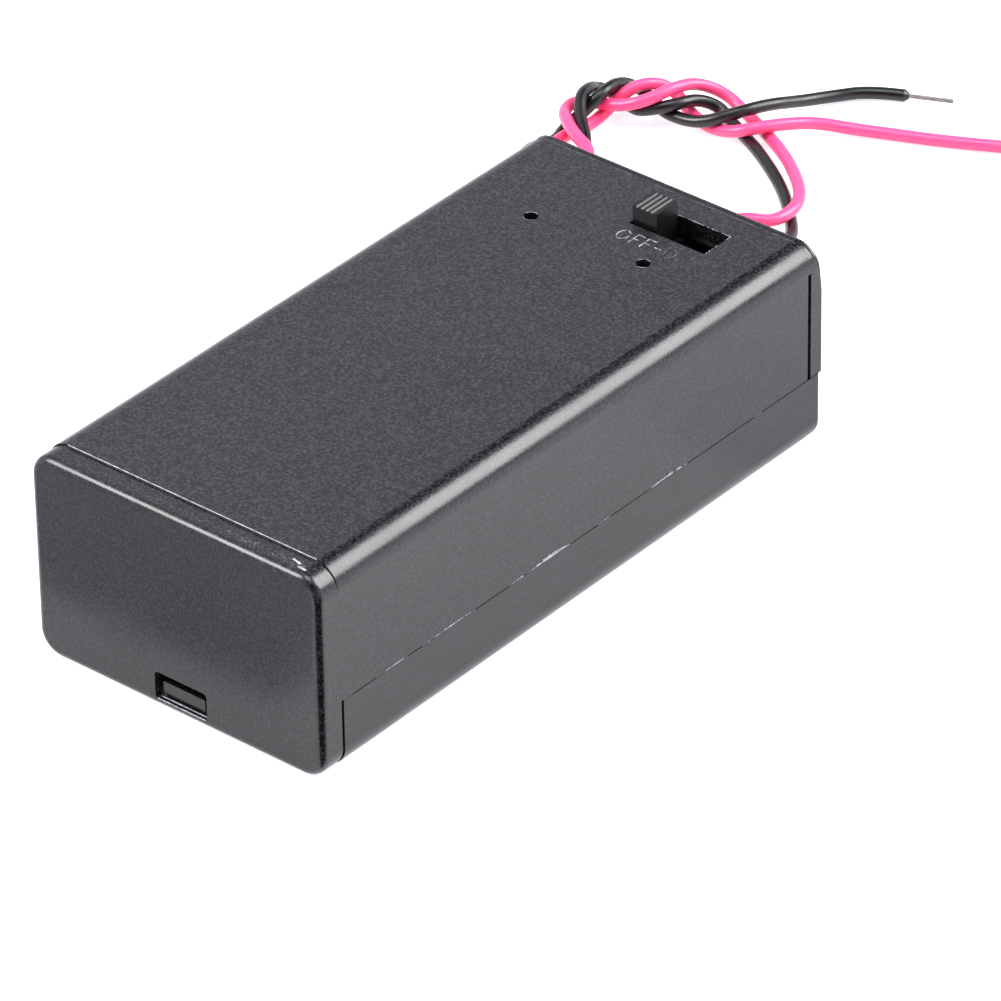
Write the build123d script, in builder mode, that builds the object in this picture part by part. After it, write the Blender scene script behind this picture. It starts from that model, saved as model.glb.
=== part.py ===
from build123d import *
import os
from math import pi, radians, sqrt, tan

os.makedirs("parts", exist_ok=True)

# Frame: origin under the middle of the box, +X across it, +Y towards its rear end, +Z up.
# The box lies on its cover, with the switch face up.

# Overall box
box_width = 33.0
box_length = 69.5
box_height = 21.0
cover_height = 7.35
side_wall = 1.8
end_wall = 1.7
top_wall = 1.7
top_edge_radius = 2.3
cavity_radius = 0.8

# Front cap, full height, with the latch window
cap_depth = 2.65
cap_floor = 1.5
cap_step = 0.18
cap_corner_radius = 2.4
cap_edge_radius = 0.8
window_width = 6.0
window_to_right = 0.25
window_bottom = 0.8
window_height = 2.85
window_radius = 0.4
window_bar_depth = 0.7

# Rear end of the tray
rear_step = 0.12
rear_edge_radius = 0.2
rear_taper_height = 6.0
rear_taper = 0.9
rear_groove_width = 0.45
rear_groove_depth = 0.3
rear_groove_top = 2.5
rim_tab_width = 3.7
rim_notch_width = 1.95
rim_notch_depth = 1.0

# Lip of the tray inside the cover
lip_thickness = 0.75
lip_height = 0.75
lip_clearance = 0.15

# Cover
cover_floor = 1.6
cover_wall = 1.6
cover_edge_radius = 2.2
cover_end_radius = 0.4
cover_front_gap = 0.3
seam_gap = 0.1
cover_rear_inset = 0.25
cover_sill_height = 1.6
catch_width = 4.8
catch_side_clearance = 0.15
catch_height = 1.1
catch_lip_thickness = 0.45
catch_arm_thickness = 0.6
catch_root_thickness = 1.3
catch_above_bar = 0.65
catch_recess = 0.45
cover_tab_height = 0.85
cover_tab_thickness = 0.45
cover_tab_clearance = 0.15

# Cover screw, its boss in the tray and its post in the cover
screw_from_left = 8.9
screw_from_rear = 5.75
screw_radius = 1.0
screw_head_radius = 2.0
screw_head_height = 1.4
screw_head_depth = 1.9
screw_engagement = 2.5
screw_tip_radius = 0.45
screw_slot_width = 0.5
screw_slot_depth = 0.7
screw_hole_clearance = 0.15
screw_head_clearance = 0.2
post_wall = 1.1
post_gap = 0.15
boss_radius = 2.7
boss_hole_radius = 1.1
boss_hole_depth = 10.0

# Snap board across the bay
board_thickness = 1.1
board_from_rear = 10.15
board_side_clearance = 0.3
board_rim_gap = 0.25
board_chamfer = 0.9
board_slot_clearance = 0.08
rib_thickness = 0.8
rib_reach = 2.1
front_rib_length = 9.0
rear_rib_length = 11.2

# Core holes in the top
core_hole_radius = 0.7
core_hole_spacing = 13.0
core_holes_to_left = 0.4
core_hole_board_gap = 0.9

# Battery snaps
snap_pitch = 12.7
snap_above_board_edge = 3.3
stud_flange_radius = 3.2
stud_neck_radius = 2.5
stud_rim_radius = 2.86
stud_length = 3.0
stud_wall = 0.3
socket_base_flats = 5.6
socket_mouth_flats = 7.3
socket_lip_flats = 6.2
socket_length = 3.2
socket_wall = 0.35
socket_slit = 0.45
rivet_radius = 0.9
rivet_bore_radius = 0.55
rivet_head_radius = 1.5
rivet_head = 0.35
rivet_clearance = 0.05
tag_thickness = 0.3
tag_radius = 1.9
tag_width = 1.8
tag_length = 4.2

# Slide switch
switch_from_right = 11.4
switch_from_rear = 6.35
slot_length = 8.7
slot_width = 3.8
knob_length = 2.8
knob_width = 3.0
knob_end_clearance = 0.1
knob_proud = 1.75
knob_ridges = 5
knob_ridge_depth = 0.12
shell_length = 10.0
shell_width = 5.8
shell_height = 5.2
shell_wall = 0.3
shell_slot_margin = 0.15
claw_length = 1.6
claw_reach = 1.0
claw_from_middle = 2.4
base_thickness = 0.8
base_clearance = 0.1
carriage_length = 4.2
carriage_height = 1.9
slider_clearance = 0.1
terminal_pitch = 3.0
terminal_pad_length = 2.6
terminal_pad_width = 2.2
terminal_thickness = 0.25
terminal_blade_width = 1.4
terminal_blade_thickness = 0.4
terminal_blade_length = 2.6
clip_width = 1.6
clip_thickness = 0.2
clip_clearance = 0.05
dimple_spacing = 3.0
dimple_radius = 0.45

# Heat-staked bar that holds the switch
stake_pitch = 13.4
stake_radius = 1.1
stake_shoulder_radius = 1.5
stake_head_radius = 2.75
stake_head_height = 1.2
retainer_width = 4.2
retainer_thickness = 1.2
retainer_end_radius = 2.1
retainer_leg = 0.9
retainer_leg_width = 3.4
retainer_gap = 2.7
stake_clearance = 0.08

# Leads
lead_radius = 0.62
strand_radius = 0.24
strand_length = 5.5
wire_hole_clearance = 0.13
red_exit_from_left = 3.6
black_exit_from_left = 5.6
red_exit_height = 10.4
black_exit_height = 12.8
wire_end_gap = 1.2
wire_gap = 0.15
joint_run = 2.0
solder_radius = 0.9
solder_overlap = 0.45
terminal_solder_depth = 1.35

# Places worked out from the sizes above
half_width = box_width / 2
rear_y = box_length / 2
front_y = -rear_y
cap_back_y = front_y + cap_depth
ceiling_z = box_height - top_wall
inner_half_width = half_width - side_wall
inner_rear_y = rear_y - end_wall
inner_front_y = front_y + end_wall
board_rear_y = rear_y - board_from_rear
board_front_y = board_rear_y - board_thickness
board_bottom_z = cover_height + board_rim_gap
snap_z = board_bottom_z + snap_above_board_edge
screw_x = -half_width + screw_from_left
screw_y = rear_y - screw_from_rear
switch_x = half_width - switch_from_right
switch_y = rear_y - switch_from_rear
knob_travel = slot_length - knob_length - 2 * knob_end_clearance
knob_x = switch_x - knob_travel / 2
shell_bottom_z = ceiling_z - shell_height
base_top_z = shell_bottom_z + base_thickness
retainer_top_z = shell_bottom_z - retainer_gap
retainer_bottom_z = retainer_top_z - retainer_thickness
stake_xs = [switch_x - stake_pitch / 2, switch_x + stake_pitch / 2]
red_exit_x = -half_width + red_exit_from_left
black_exit_x = -half_width + black_exit_from_left


def cross_plane(y):
    """Plane across the box at y: its x is the box's X, its y is the box's Z, its normal is -Y."""
    return Plane(origin=(0, y, 0), x_dir=(1, 0, 0), z_dir=(0, -1, 0))


def side_plane(x):
    """Plane along the box at x: its x is the box's Y, its y is the box's Z, its normal is +X."""
    return Plane(origin=(x, 0, 0), x_dir=(0, 1, 0), z_dir=(1, 0, 0))


def radial_plane(x, y, z):
    """Upright plane through a round feature's axis: its x is the radius, its y is the box's Z."""
    return Plane(origin=(x, y, z), x_dir=(1, 0, 0), z_dir=(0, -1, 0))


def finish(part, name):
    """Label a finished piece and write it."""
    part.label = name
    export_step(part, f"parts/{name}.step")


# Tray: a shell open downwards, its front cap as tall as the whole box
with BuildPart() as case_tray:
    with BuildSketch(cross_plane(cap_back_y)) as shell_section:
        with Locations((0, (cover_height + box_height) / 2)):
            Rectangle(box_width, box_height - cover_height)
        fillet(shell_section.vertices().group_by(Axis.Y)[-1], top_edge_radius)
    extrude(amount=-(inner_rear_y - cap_back_y))

    with BuildSketch(cross_plane(inner_rear_y)) as rear_section:
        with Locations((0, (cover_height + box_height - rear_step) / 2)):
            Rectangle(box_width, box_height - rear_step - cover_height)
        fillet(rear_section.vertices().group_by(Axis.Y)[-1], top_edge_radius)
    extrude(amount=-end_wall)
    rear_face = case_tray.faces().sort_by(Axis.Y)[-1]
    rear_outline = rear_face.edges().filter_by(lambda edge: edge.center().Z > cover_height + 0.1)
    fillet(rear_outline, rear_edge_radius)
    with BuildSketch(side_plane(0)):
        with BuildLine():
            Polyline(
                (rear_y, box_height - rear_taper_height),
                (rear_y + 1, box_height - rear_taper_height),
                (rear_y + 1, box_height + 1),
                (rear_y - rear_taper, box_height + 1),
                close=True,
            )
        make_face()
    extrude(amount=half_width, both=True, mode=Mode.SUBTRACT)

    with BuildSketch(cross_plane(front_y)) as cap_section:
        with Locations((0, (box_height - cap_step) / 2)):
            Rectangle(box_width, box_height - cap_step)
        fillet(cap_section.vertices().group_by(Axis.Y)[-1], top_edge_radius)
        fillet(cap_section.vertices().group_by(Axis.Y)[0], cap_corner_radius)
    extrude(amount=-cap_depth)
    front_face = case_tray.faces().sort_by(Axis.Y)[0]
    fillet(front_face.edges(), cap_edge_radius)

    # Inside of the shell, over the floor strip of the cap
    with BuildSketch(Plane.XY.offset(ceiling_z)):
        with Locations((0, (inner_rear_y + inner_front_y) / 2)):
            RectangleRounded(2 * inner_half_width, inner_rear_y - inner_front_y, cavity_radius)
    extrude(amount=-(ceiling_z - cap_floor), mode=Mode.SUBTRACT)

    # Latch window and the bar under it
    with BuildSketch(cross_plane(front_y)):
        with Locations((window_to_right, window_bottom + window_height / 2)):
            RectangleRounded(window_width, window_height, window_radius)
    extrude(amount=-cap_depth, mode=Mode.SUBTRACT)
    with BuildSketch(Plane.XY):
        with Locations((window_to_right, (front_y + window_bar_depth + cap_back_y) / 2)):
            Rectangle(window_width, cap_depth - window_bar_depth)
    extrude(amount=cap_floor, mode=Mode.SUBTRACT)

    # Grooves down both sides in front of the rear wall
    with BuildSketch(cross_plane(inner_rear_y)):
        for side in (-1, 1):
            with Locations((side * half_width, (cover_height + box_height - rear_groove_top) / 2)):
                Rectangle(2 * rear_groove_depth, box_height - rear_groove_top - cover_height)
    extrude(amount=rear_groove_width, mode=Mode.SUBTRACT)

    # Lip that reaches down inside the cover, open at the front
    with BuildSketch(Plane.XY.offset(cover_height)):
        with BuildLine():
            lip_front_y = cap_back_y + lip_thickness
            lip_outer_x = inner_half_width + lip_thickness
            lip_outer_y = inner_rear_y + lip_thickness
            Polyline(
                (-inner_half_width, lip_front_y),
                (-lip_outer_x, lip_front_y),
                (-lip_outer_x, lip_outer_y),
                (lip_outer_x, lip_outer_y),
                (lip_outer_x, lip_front_y),
                (inner_half_width, lip_front_y),
                (inner_half_width, inner_rear_y),
                (-inner_half_width, inner_rear_y),
                close=True,
            )
        make_face()
    extrude(amount=-lip_height)

    # Notches in the rear rim for the tabs of the cover
    with BuildSketch(Plane.XY.offset(cover_height)):
        for side in (-1, 1):
            with Locations((side * (rim_tab_width + rim_notch_width) / 2, rear_y)):
                Rectangle(rim_notch_width, 2 * (end_wall - lip_thickness - lip_clearance))
    extrude(amount=rim_notch_depth, mode=Mode.SUBTRACT)

    # Slots for the snap board: a short rib in front of it and a long one behind it, on each side
    for side in (-1, 1):
        for rib_y, rib_length in (
            (board_front_y - board_slot_clearance - rib_thickness / 2, front_rib_length),
            (board_rear_y + board_slot_clearance + rib_thickness / 2, rear_rib_length),
        ):
            with BuildSketch(Plane.XY.offset(ceiling_z)):
                with Locations((side * (inner_half_width - rib_reach / 2), rib_y)):
                    Rectangle(rib_reach, rib_thickness)
            extrude(amount=-rib_length)

    # Stakes with melted heads, and the screw boss
    with BuildSketch(Plane.XY.offset(ceiling_z)):
        for stake_x in stake_xs:
            with Locations((stake_x, switch_y)):
                Circle(stake_shoulder_radius)
    extrude(amount=-(ceiling_z - retainer_top_z))
    with BuildSketch(Plane.XY.offset(retainer_top_z)):
        for stake_x in stake_xs:
            with Locations((stake_x, switch_y)):
                Circle(stake_radius)
    extrude(amount=-retainer_thickness)
    for stake_x in stake_xs:
        with BuildSketch(radial_plane(stake_x, switch_y, retainer_bottom_z)):
            with BuildLine():
                Line((0, 0), (stake_head_radius, 0))
                RadiusArc(
                    (stake_head_radius, 0),
                    (0, -stake_head_height),
                    (stake_head_radius**2 + stake_head_height**2) / (2 * stake_head_height),
                )
                Line((0, -stake_head_height), (0, 0))
            make_face()
        revolve(axis=Axis((stake_x, switch_y, 0), (0, 0, 1)))
    with BuildSketch(Plane.XY.offset(cover_height)):
        with Locations((screw_x, screw_y)):
            Circle(boss_radius)
    extrude(amount=ceiling_z - cover_height)
    with BuildSketch(Plane.XY.offset(cover_height)):
        with Locations((screw_x, screw_y)):
            Circle(boss_hole_radius)
    extrude(amount=boss_hole_depth, mode=Mode.SUBTRACT)

    # Openings in the top and the rear wall
    with BuildSketch(Plane.XY.offset(ceiling_z)):
        with Locations((switch_x, switch_y)):
            Rectangle(slot_length, slot_width)
        core_hole_y = board_front_y - core_hole_board_gap - core_hole_radius
        for side in (-1, 1):
            with Locations((side * core_hole_spacing / 2 - core_holes_to_left, core_hole_y)):
                Circle(core_hole_radius)
    extrude(amount=top_wall, mode=Mode.SUBTRACT)
    with BuildSketch(cross_plane(inner_rear_y)):
        with Locations((red_exit_x, red_exit_height), (black_exit_x, black_exit_height)):
            Circle(lead_radius + wire_hole_clearance)
    extrude(amount=-end_wall, mode=Mode.SUBTRACT)
finish(case_tray.part, "case_tray")

# Cover: a shallow tray that closes the open side and carries the catch
cover_front_y = cap_back_y + cover_front_gap
cover_rear_y = rear_y - cover_rear_inset
cover_inner_x = half_width - cover_wall
cover_inner_front_y = cover_front_y + cover_wall
cover_inner_rear_y = cover_rear_y - cover_wall
rebate_z = cover_height - lip_height - lip_clearance
cover_rim_z = cover_height - seam_gap
with BuildPart() as cover:
    with BuildSketch(cross_plane(cover_front_y)) as cover_section:
        with Locations((0, cover_rim_z / 2)):
            Rectangle(box_width, cover_rim_z)
        fillet(cover_section.vertices().group_by(Axis.Y)[0], cover_edge_radius)
    extrude(amount=-(cover_rear_y - cover_front_y))
    cover_rear_face = cover.faces().sort_by(Axis.Y)[-1]
    cover_rear_outline = cover_rear_face.edges().filter_by(lambda edge: edge.center().Z < cover_rim_z - 0.1)
    fillet(cover_rear_outline, cover_end_radius)
    with BuildSketch(Plane.XY.offset(cover_floor)):
        with Locations((0, (cover_inner_front_y + cover_inner_rear_y) / 2)):
            RectangleRounded(2 * cover_inner_x, cover_inner_rear_y - cover_inner_front_y, cavity_radius)
    extrude(amount=cover_height - cover_floor, mode=Mode.SUBTRACT)
    with BuildSketch(Plane.XY.offset(cover_floor + cover_sill_height)):
        with Locations((0, (cover_front_y + cover_inner_front_y + cavity_radius) / 2)):
            Rectangle(2 * cover_inner_x, cover_wall + cavity_radius)
    extrude(amount=cover_height, mode=Mode.SUBTRACT)
    with BuildSketch(Plane.XY.offset(rebate_z)):
        rebate_rear_y = inner_rear_y + lip_thickness + lip_clearance
        with Locations((0, (cover_front_y + rebate_rear_y) / 2)):
            Rectangle(
                2 * (inner_half_width + lip_thickness + lip_clearance),
                rebate_rear_y - cover_front_y,
            )
    extrude(amount=cover_height - rebate_z, mode=Mode.SUBTRACT)

    # Front catch: it comes forward under the window and hooks over the bar
    bar_back_y = front_y + window_bar_depth
    catch_root_y = bar_back_y + catch_side_clearance
    catch_front_y = front_y + catch_recess
    catch_bottom_z = window_bottom + catch_above_bar
    with BuildSketch(side_plane(window_to_right)):
        with BuildLine():
            Polyline(
                (cover_front_y + cover_wall / 2, 0),
                (catch_root_y, 0),
                (catch_root_y, catch_root_thickness),
                (catch_front_y, catch_bottom_z),
                (catch_front_y, catch_bottom_z + catch_height),
                (catch_front_y + catch_lip_thickness, catch_bottom_z + catch_height),
                (catch_front_y + catch_lip_thickness, catch_bottom_z + catch_arm_thickness),
                (cover_front_y + cover_wall / 2, catch_bottom_z + catch_arm_thickness),
                close=True,
            )
        make_face()
    extrude(amount=catch_width / 2, both=True)

    # Rear tabs for the notches of the tray
    with BuildSketch(Plane.XY.offset(rebate_z)):
        tab_y = cover_rear_y - cover_tab_thickness / 2
        for side in (-1, 1):
            with Locations((side * (rim_tab_width + rim_notch_width) / 2, tab_y)):
                Rectangle(rim_notch_width - 2 * cover_tab_clearance, cover_tab_thickness)
    extrude(amount=cover_height - rebate_z + cover_tab_height)

    # Screw post with its counterbored hole
    post_radius = screw_head_radius + screw_head_clearance + post_wall
    with BuildSketch(Plane.XY.offset(cover_floor / 2)):
        with Locations((screw_x, screw_y)):
            Circle(post_radius)
    extrude(amount=cover_height - post_gap - cover_floor / 2)
    with Locations((screw_x, screw_y, 0)):
        Cylinder(
            screw_radius + screw_hole_clearance,
            2 * cover_height,
            mode=Mode.SUBTRACT,
        )
        Cylinder(
            screw_head_radius + screw_head_clearance,
            2 * screw_head_depth,
            mode=Mode.SUBTRACT,
        )
finish(cover.part, "cover")

# Screw: pan head sunk in the cover, shank into the boss
screw_end_z = cover_height + screw_engagement
screw_taper_z = cover_height + screw_engagement * 0.2
with BuildPart() as cover_screw:
    with BuildSketch(radial_plane(screw_x, screw_y, 0)):
        with BuildLine():
            Polyline(
                (0, screw_end_z),
                (0, screw_head_depth - screw_head_height),
                (screw_head_radius * 0.8, screw_head_depth - screw_head_height),
                (screw_head_radius, screw_head_depth - screw_head_height * 0.7),
                (screw_head_radius, screw_head_depth),
                (screw_radius, screw_head_depth),
                (screw_radius, screw_taper_z),
                (screw_tip_radius, screw_end_z),
                close=True,
            )
        make_face()
    revolve(axis=Axis((screw_x, screw_y, 0), (0, 0, 1)))
    with BuildSketch(Plane.XY.offset(screw_head_depth - screw_head_height)):
        with Locations((screw_x, screw_y)):
            Rectangle(screw_slot_width, screw_head_radius * 1.3)
            Rectangle(screw_head_radius * 1.3, screw_slot_width)
    extrude(amount=screw_slot_depth, mode=Mode.SUBTRACT)
finish(cover_screw.part, "cover_screw")

# Snap board, with a bevelled corner where the leads pass
board_half_width = inner_half_width - board_side_clearance
snap_xs = {"plus": -snap_pitch / 2, "minus": snap_pitch / 2}
with BuildPart() as snap_board:
    with BuildSketch(cross_plane(board_front_y)) as board_section:
        with Locations((0, (board_bottom_z + ceiling_z) / 2)):
            Rectangle(2 * board_half_width, ceiling_z - board_bottom_z)
        chamfer(board_section.vertices().group_by(Axis.Y)[0], board_chamfer)
        with Locations((snap_xs["plus"], snap_z), (snap_xs["minus"], snap_z)):
            Circle(rivet_radius + rivet_clearance, mode=Mode.SUBTRACT)
    extrude(amount=-board_thickness)
finish(snap_board.part, "snap_board")


def snap_profile_plane(x):
    """Plane through a snap's axis: its x is the radius, its y runs along +Y from the board's front."""
    return Plane(origin=(x, board_front_y, snap_z), x_dir=(1, 0, 0), z_dir=(0, 0, 1))


def snap_axis(x):
    """Axis of the snap at x."""
    return Axis((x, board_front_y, snap_z), (0, 1, 0))


# Round snap: a drawn cup with a flange on the board and a bulged rim
with BuildPart() as minus_stud:
    with BuildSketch(snap_profile_plane(snap_xs["minus"])):
        with BuildLine():
            bore = rivet_radius + rivet_clearance
            inner = stud_neck_radius - stud_wall
            Polyline(
                (bore, 0),
                (stud_flange_radius, 0),
                (stud_flange_radius, -stud_wall),
                (stud_neck_radius + stud_wall, -stud_wall - 0.15),
                (stud_neck_radius, -stud_length * 0.3),
                (stud_neck_radius, -stud_length * 0.5),
                (stud_rim_radius, -stud_length * 0.72),
                (stud_rim_radius, -stud_length * 0.9),
                (stud_rim_radius - stud_wall, -stud_length),
                (inner + 0.05, -stud_length * 0.95),
                (inner, -stud_length * 0.6),
                (inner, -stud_wall),
                (bore, -stud_wall),
                close=True,
            )
        make_face()
    revolve(axis=snap_axis(snap_xs["minus"]))
finish(minus_stud.part, "minus_stud")


def hexagon_radius(flats):
    """Radius to the corners of a hexagon with this width across its flats."""
    return flats / sqrt(3)


# Six-petal snap: a hexagonal crown that widens to its mouth and turns in at its lip
with BuildPart() as plus_socket:
    for inset, mode in ((0, Mode.ADD), (socket_wall, Mode.SUBTRACT)):
        levels = (
            (0 if inset == 0 else socket_wall, socket_base_flats),
            (socket_length * 0.75, socket_mouth_flats),
            (socket_length, socket_lip_flats),
        )
        for (low, low_flats), (high, high_flats) in zip(levels, levels[1:]):
            for depth, flats in ((low, low_flats), (high, high_flats)):
                with BuildSketch(cross_plane(board_front_y - depth)):
                    with Locations((snap_xs["plus"], snap_z)):
                        RegularPolygon(hexagon_radius(flats - 2 * inset), 6)
            loft(mode=mode)
    with BuildSketch(cross_plane(board_front_y - socket_wall * 2)):
        with Locations((snap_xs["plus"], snap_z)):
            with PolarLocations(hexagon_radius(socket_mouth_flats) / 2, 6):
                Rectangle(hexagon_radius(socket_mouth_flats), socket_slit)
    extrude(amount=socket_length, mode=Mode.SUBTRACT)
    with BuildSketch(cross_plane(board_front_y)):
        with Locations((snap_xs["plus"], snap_z)):
            Circle(rivet_radius + rivet_clearance)
    extrude(amount=socket_length, mode=Mode.SUBTRACT)
finish(plus_socket.part, "plus_socket")

# Rivets and solder tags behind the snaps
tag_front_y = board_rear_y
tag_rear_y = tag_front_y + tag_thickness
for pole, base_thickness_there, tag_side in (("minus", stud_wall, 1), ("plus", socket_wall, -1)):
    snap_x = snap_xs[pole]
    with BuildPart() as rivet:
        head_y = -base_thickness_there
        tail_y = tag_rear_y - board_front_y
        with BuildSketch(snap_profile_plane(snap_x)):
            with BuildLine():
                Polyline(
                    (rivet_bore_radius, head_y - rivet_head),
                    (rivet_head_radius, head_y - rivet_head / 2),
                    (rivet_head_radius, head_y),
                    (rivet_radius, head_y),
                    (rivet_radius, tail_y),
                    (rivet_head_radius, tail_y),
                    (rivet_head_radius, tail_y + rivet_head / 2),
                    (rivet_bore_radius, tail_y + rivet_head),
                    close=True,
                )
            make_face()
        revolve(axis=snap_axis(snap_x))
    finish(rivet.part, f"{pole}_rivet")
    with BuildPart() as tag:
        with BuildSketch(cross_plane(tag_front_y)):
            with Locations((snap_x, snap_z)):
                Circle(tag_radius)
            with Locations((snap_x + tag_side * tag_length / 2, snap_z)):
                Rectangle(tag_length, tag_width)
            with Locations((snap_x, snap_z)):
                Circle(rivet_radius + rivet_clearance, mode=Mode.SUBTRACT)
        extrude(amount=-tag_thickness)
    finish(tag.part, f"{pole}_tag")

# Switch shell: a folded channel under the top, its claws turned in under the base
with BuildPart() as switch_shell:
    with BuildSketch(side_plane(switch_x)):
        with Locations((switch_y, (shell_bottom_z - shell_wall + ceiling_z) / 2)):
            Rectangle(shell_width, shell_height + shell_wall)
        with Locations((switch_y, (shell_bottom_z - shell_wall + ceiling_z) / 2 - shell_wall)):
            Rectangle(shell_width - 2 * shell_wall, shell_height + shell_wall, mode=Mode.SUBTRACT)
    extrude(amount=shell_length / 2, both=True)
    fillet(switch_shell.edges().filter_by(Axis.X).group_by(Axis.Z)[-1], shell_wall)
    with BuildSketch(Plane.XY.offset(ceiling_z)):
        with Locations((switch_x, switch_y)):
            Rectangle(slot_length, knob_width + 2 * shell_slot_margin)
    extrude(amount=-shell_wall, mode=Mode.SUBTRACT)
    with BuildSketch(Plane.XY.offset(shell_bottom_z - shell_wall)):
        with Locations((switch_x, switch_y)):
            Rectangle(shell_length, shell_width)
            for side in (-1, 1):
                with Locations((side * claw_from_middle, 0)):
                    Rectangle(claw_length, shell_width, mode=Mode.SUBTRACT)
    extrude(amount=shell_wall, mode=Mode.SUBTRACT)
    with BuildSketch(Plane.XY.offset(shell_bottom_z - shell_wall)):
        for side_x in (-1, 1):
            for side_y in (-1, 1):
                claw_y = switch_y + side_y * (shell_width / 2 - claw_reach / 2)
                with Locations((switch_x + side_x * claw_from_middle, claw_y)):
                    Rectangle(claw_length, claw_reach)
    extrude(amount=shell_wall)
finish(switch_shell.part, "switch_shell")

# Switch base with slits for the three terminals
terminal_names = ("off", "common", "on")
terminal_xs = [switch_x + (index - 1) * terminal_pitch for index in range(3)]
base_width = shell_width - 2 * shell_wall - 2 * base_clearance
with BuildPart() as switch_base:
    with BuildSketch(Plane.XY.offset(shell_bottom_z)):
        with Locations((switch_x, switch_y)):
            Rectangle(shell_length, base_width)
        for terminal_x in terminal_xs:
            with Locations((terminal_x, switch_y)):
                Rectangle(terminal_blade_width, terminal_blade_thickness, mode=Mode.SUBTRACT)
    extrude(amount=base_thickness)
finish(switch_base.part, "switch_base")

for terminal_name, terminal_x in zip(terminal_names, terminal_xs):
    with BuildPart() as terminal:
        with BuildSketch(Plane.XY.offset(base_top_z)):
            with Locations((terminal_x, switch_y)):
                Rectangle(terminal_pad_length, terminal_pad_width)
        extrude(amount=terminal_thickness)
        with BuildSketch(Plane.XY.offset(base_top_z)):
            with Locations((terminal_x, switch_y)):
                Rectangle(terminal_blade_width, terminal_blade_thickness)
        extrude(amount=-terminal_blade_length)
    finish(terminal.part, f"switch_terminal_{terminal_name}")

# Slide knob: ridged grip above the slot, carriage inside the shell
carriage_top_z = ceiling_z - shell_wall - slider_clearance
carriage_bottom_z = carriage_top_z - carriage_height
knob_top_z = box_height + knob_proud
carriage_width = shell_width - 2 * shell_wall - 2 * slider_clearance
with BuildPart() as switch_knob:
    with BuildSketch(Plane.XY.offset(carriage_bottom_z)):
        with Locations((knob_x, switch_y)):
            Rectangle(carriage_length, carriage_width)
    extrude(amount=carriage_height)
    with BuildSketch(Plane.XY.offset(carriage_top_z)):
        with Locations((knob_x, switch_y)):
            Rectangle(knob_length, knob_width)
    extrude(amount=knob_top_z - carriage_top_z)
    ridge_pitch = knob_length / knob_ridges
    with BuildSketch(cross_plane(switch_y)):
        for index in range(1, knob_ridges):
            groove_x = knob_x - knob_length / 2 + index * ridge_pitch
            with BuildLine():
                Polyline(
                    (groove_x - ridge_pitch * 0.25, knob_top_z),
                    (groove_x, knob_top_z - knob_ridge_depth),
                    (groove_x + ridge_pitch * 0.25, knob_top_z),
                    close=True,
                )
            make_face()
    extrude(amount=knob_width / 2, both=True, mode=Mode.SUBTRACT)
finish(switch_knob.part, "switch_knob")

# Spring contact under the carriage, with two dimples that run over the terminals
clip_bottom_z = base_top_z + terminal_thickness + clip_clearance
clip_foot_z = clip_bottom_z + dimple_radius
with BuildPart() as switch_clip:
    with BuildSketch(cross_plane(switch_y)) as clip_section:
        with BuildLine() as clip_line:
            Polyline(
                (knob_x - dimple_spacing / 2 - dimple_radius, clip_foot_z),
                (knob_x - dimple_spacing / 2, clip_bottom_z + clip_thickness / 2),
                (knob_x - dimple_spacing / 2 + dimple_radius, clip_foot_z),
                (knob_x - clip_width / 4, carriage_bottom_z - clip_thickness / 2),
                (knob_x + clip_width / 4, carriage_bottom_z - clip_thickness / 2),
                (knob_x + dimple_spacing / 2 - dimple_radius, clip_foot_z),
                (knob_x + dimple_spacing / 2, clip_bottom_z + clip_thickness / 2),
                (knob_x + dimple_spacing / 2 + dimple_radius, clip_foot_z),
            )
        trace(line_width=clip_thickness)
    extrude(amount=clip_width / 2, both=True)
finish(switch_clip.part, "switch_clip")

# Bar that the stakes hold against the switch, with a leg at each end of the base
with BuildPart() as switch_retainer:
    with BuildSketch(Plane.XY.offset(retainer_bottom_z)):
        with Locations((switch_x, switch_y)):
            Rectangle(stake_pitch, retainer_width)
        for stake_x in stake_xs:
            with Locations((stake_x, switch_y)):
                Circle(retainer_end_radius)
        for stake_x in stake_xs:
            with Locations((stake_x, switch_y)):
                Circle(stake_radius + stake_clearance, mode=Mode.SUBTRACT)
    extrude(amount=retainer_thickness)
    with BuildSketch(Plane.XY.offset(retainer_top_z)):
        for side in (-1, 1):
            leg_x = switch_x + side * (shell_length - retainer_leg) / 2
            with Locations((leg_x, switch_y)):
                Rectangle(retainer_leg, retainer_leg_width)
    extrude(amount=retainer_gap)
finish(switch_retainer.part, "switch_retainer")


def bend_radii(points):
    """Radius at each corner: 0.45 of the shorter run beside it, over the tangent of half the turn."""
    radii = []
    for before, corner, after in zip(points, points[1:], points[2:]):
        run_in = Vector(*corner) - Vector(*before)
        run_out = Vector(*after) - Vector(*corner)
        half_turn = radians(run_in.get_angle(run_out)) / 2
        radii.append(0.45 * min(run_in.length, run_out.length) / tan(half_turn))
    return radii


def wire(points, radius, name):
    """Round wire along straight runs joined by tangent arcs."""
    radii = bend_radii(points)
    with BuildPart() as tube:
        with BuildLine() as route:
            FilletPolyline(*points, radius=radii)
        line = route.wire()
        with BuildSketch(Plane(origin=line @ 0, z_dir=line % 0)):
            Circle(radius)
        sweep()
    finish(tube.part, name)
    tightest = min(radii)
    expected = pi * radius**2 * line.length
    print(f"{name}: length {line.length:.1f}, tightest radius {tightest:.2f},", end=" ")
    print(f"volume {tube.part.volume:.1f}, section by length {expected:.1f}")
    return line


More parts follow.
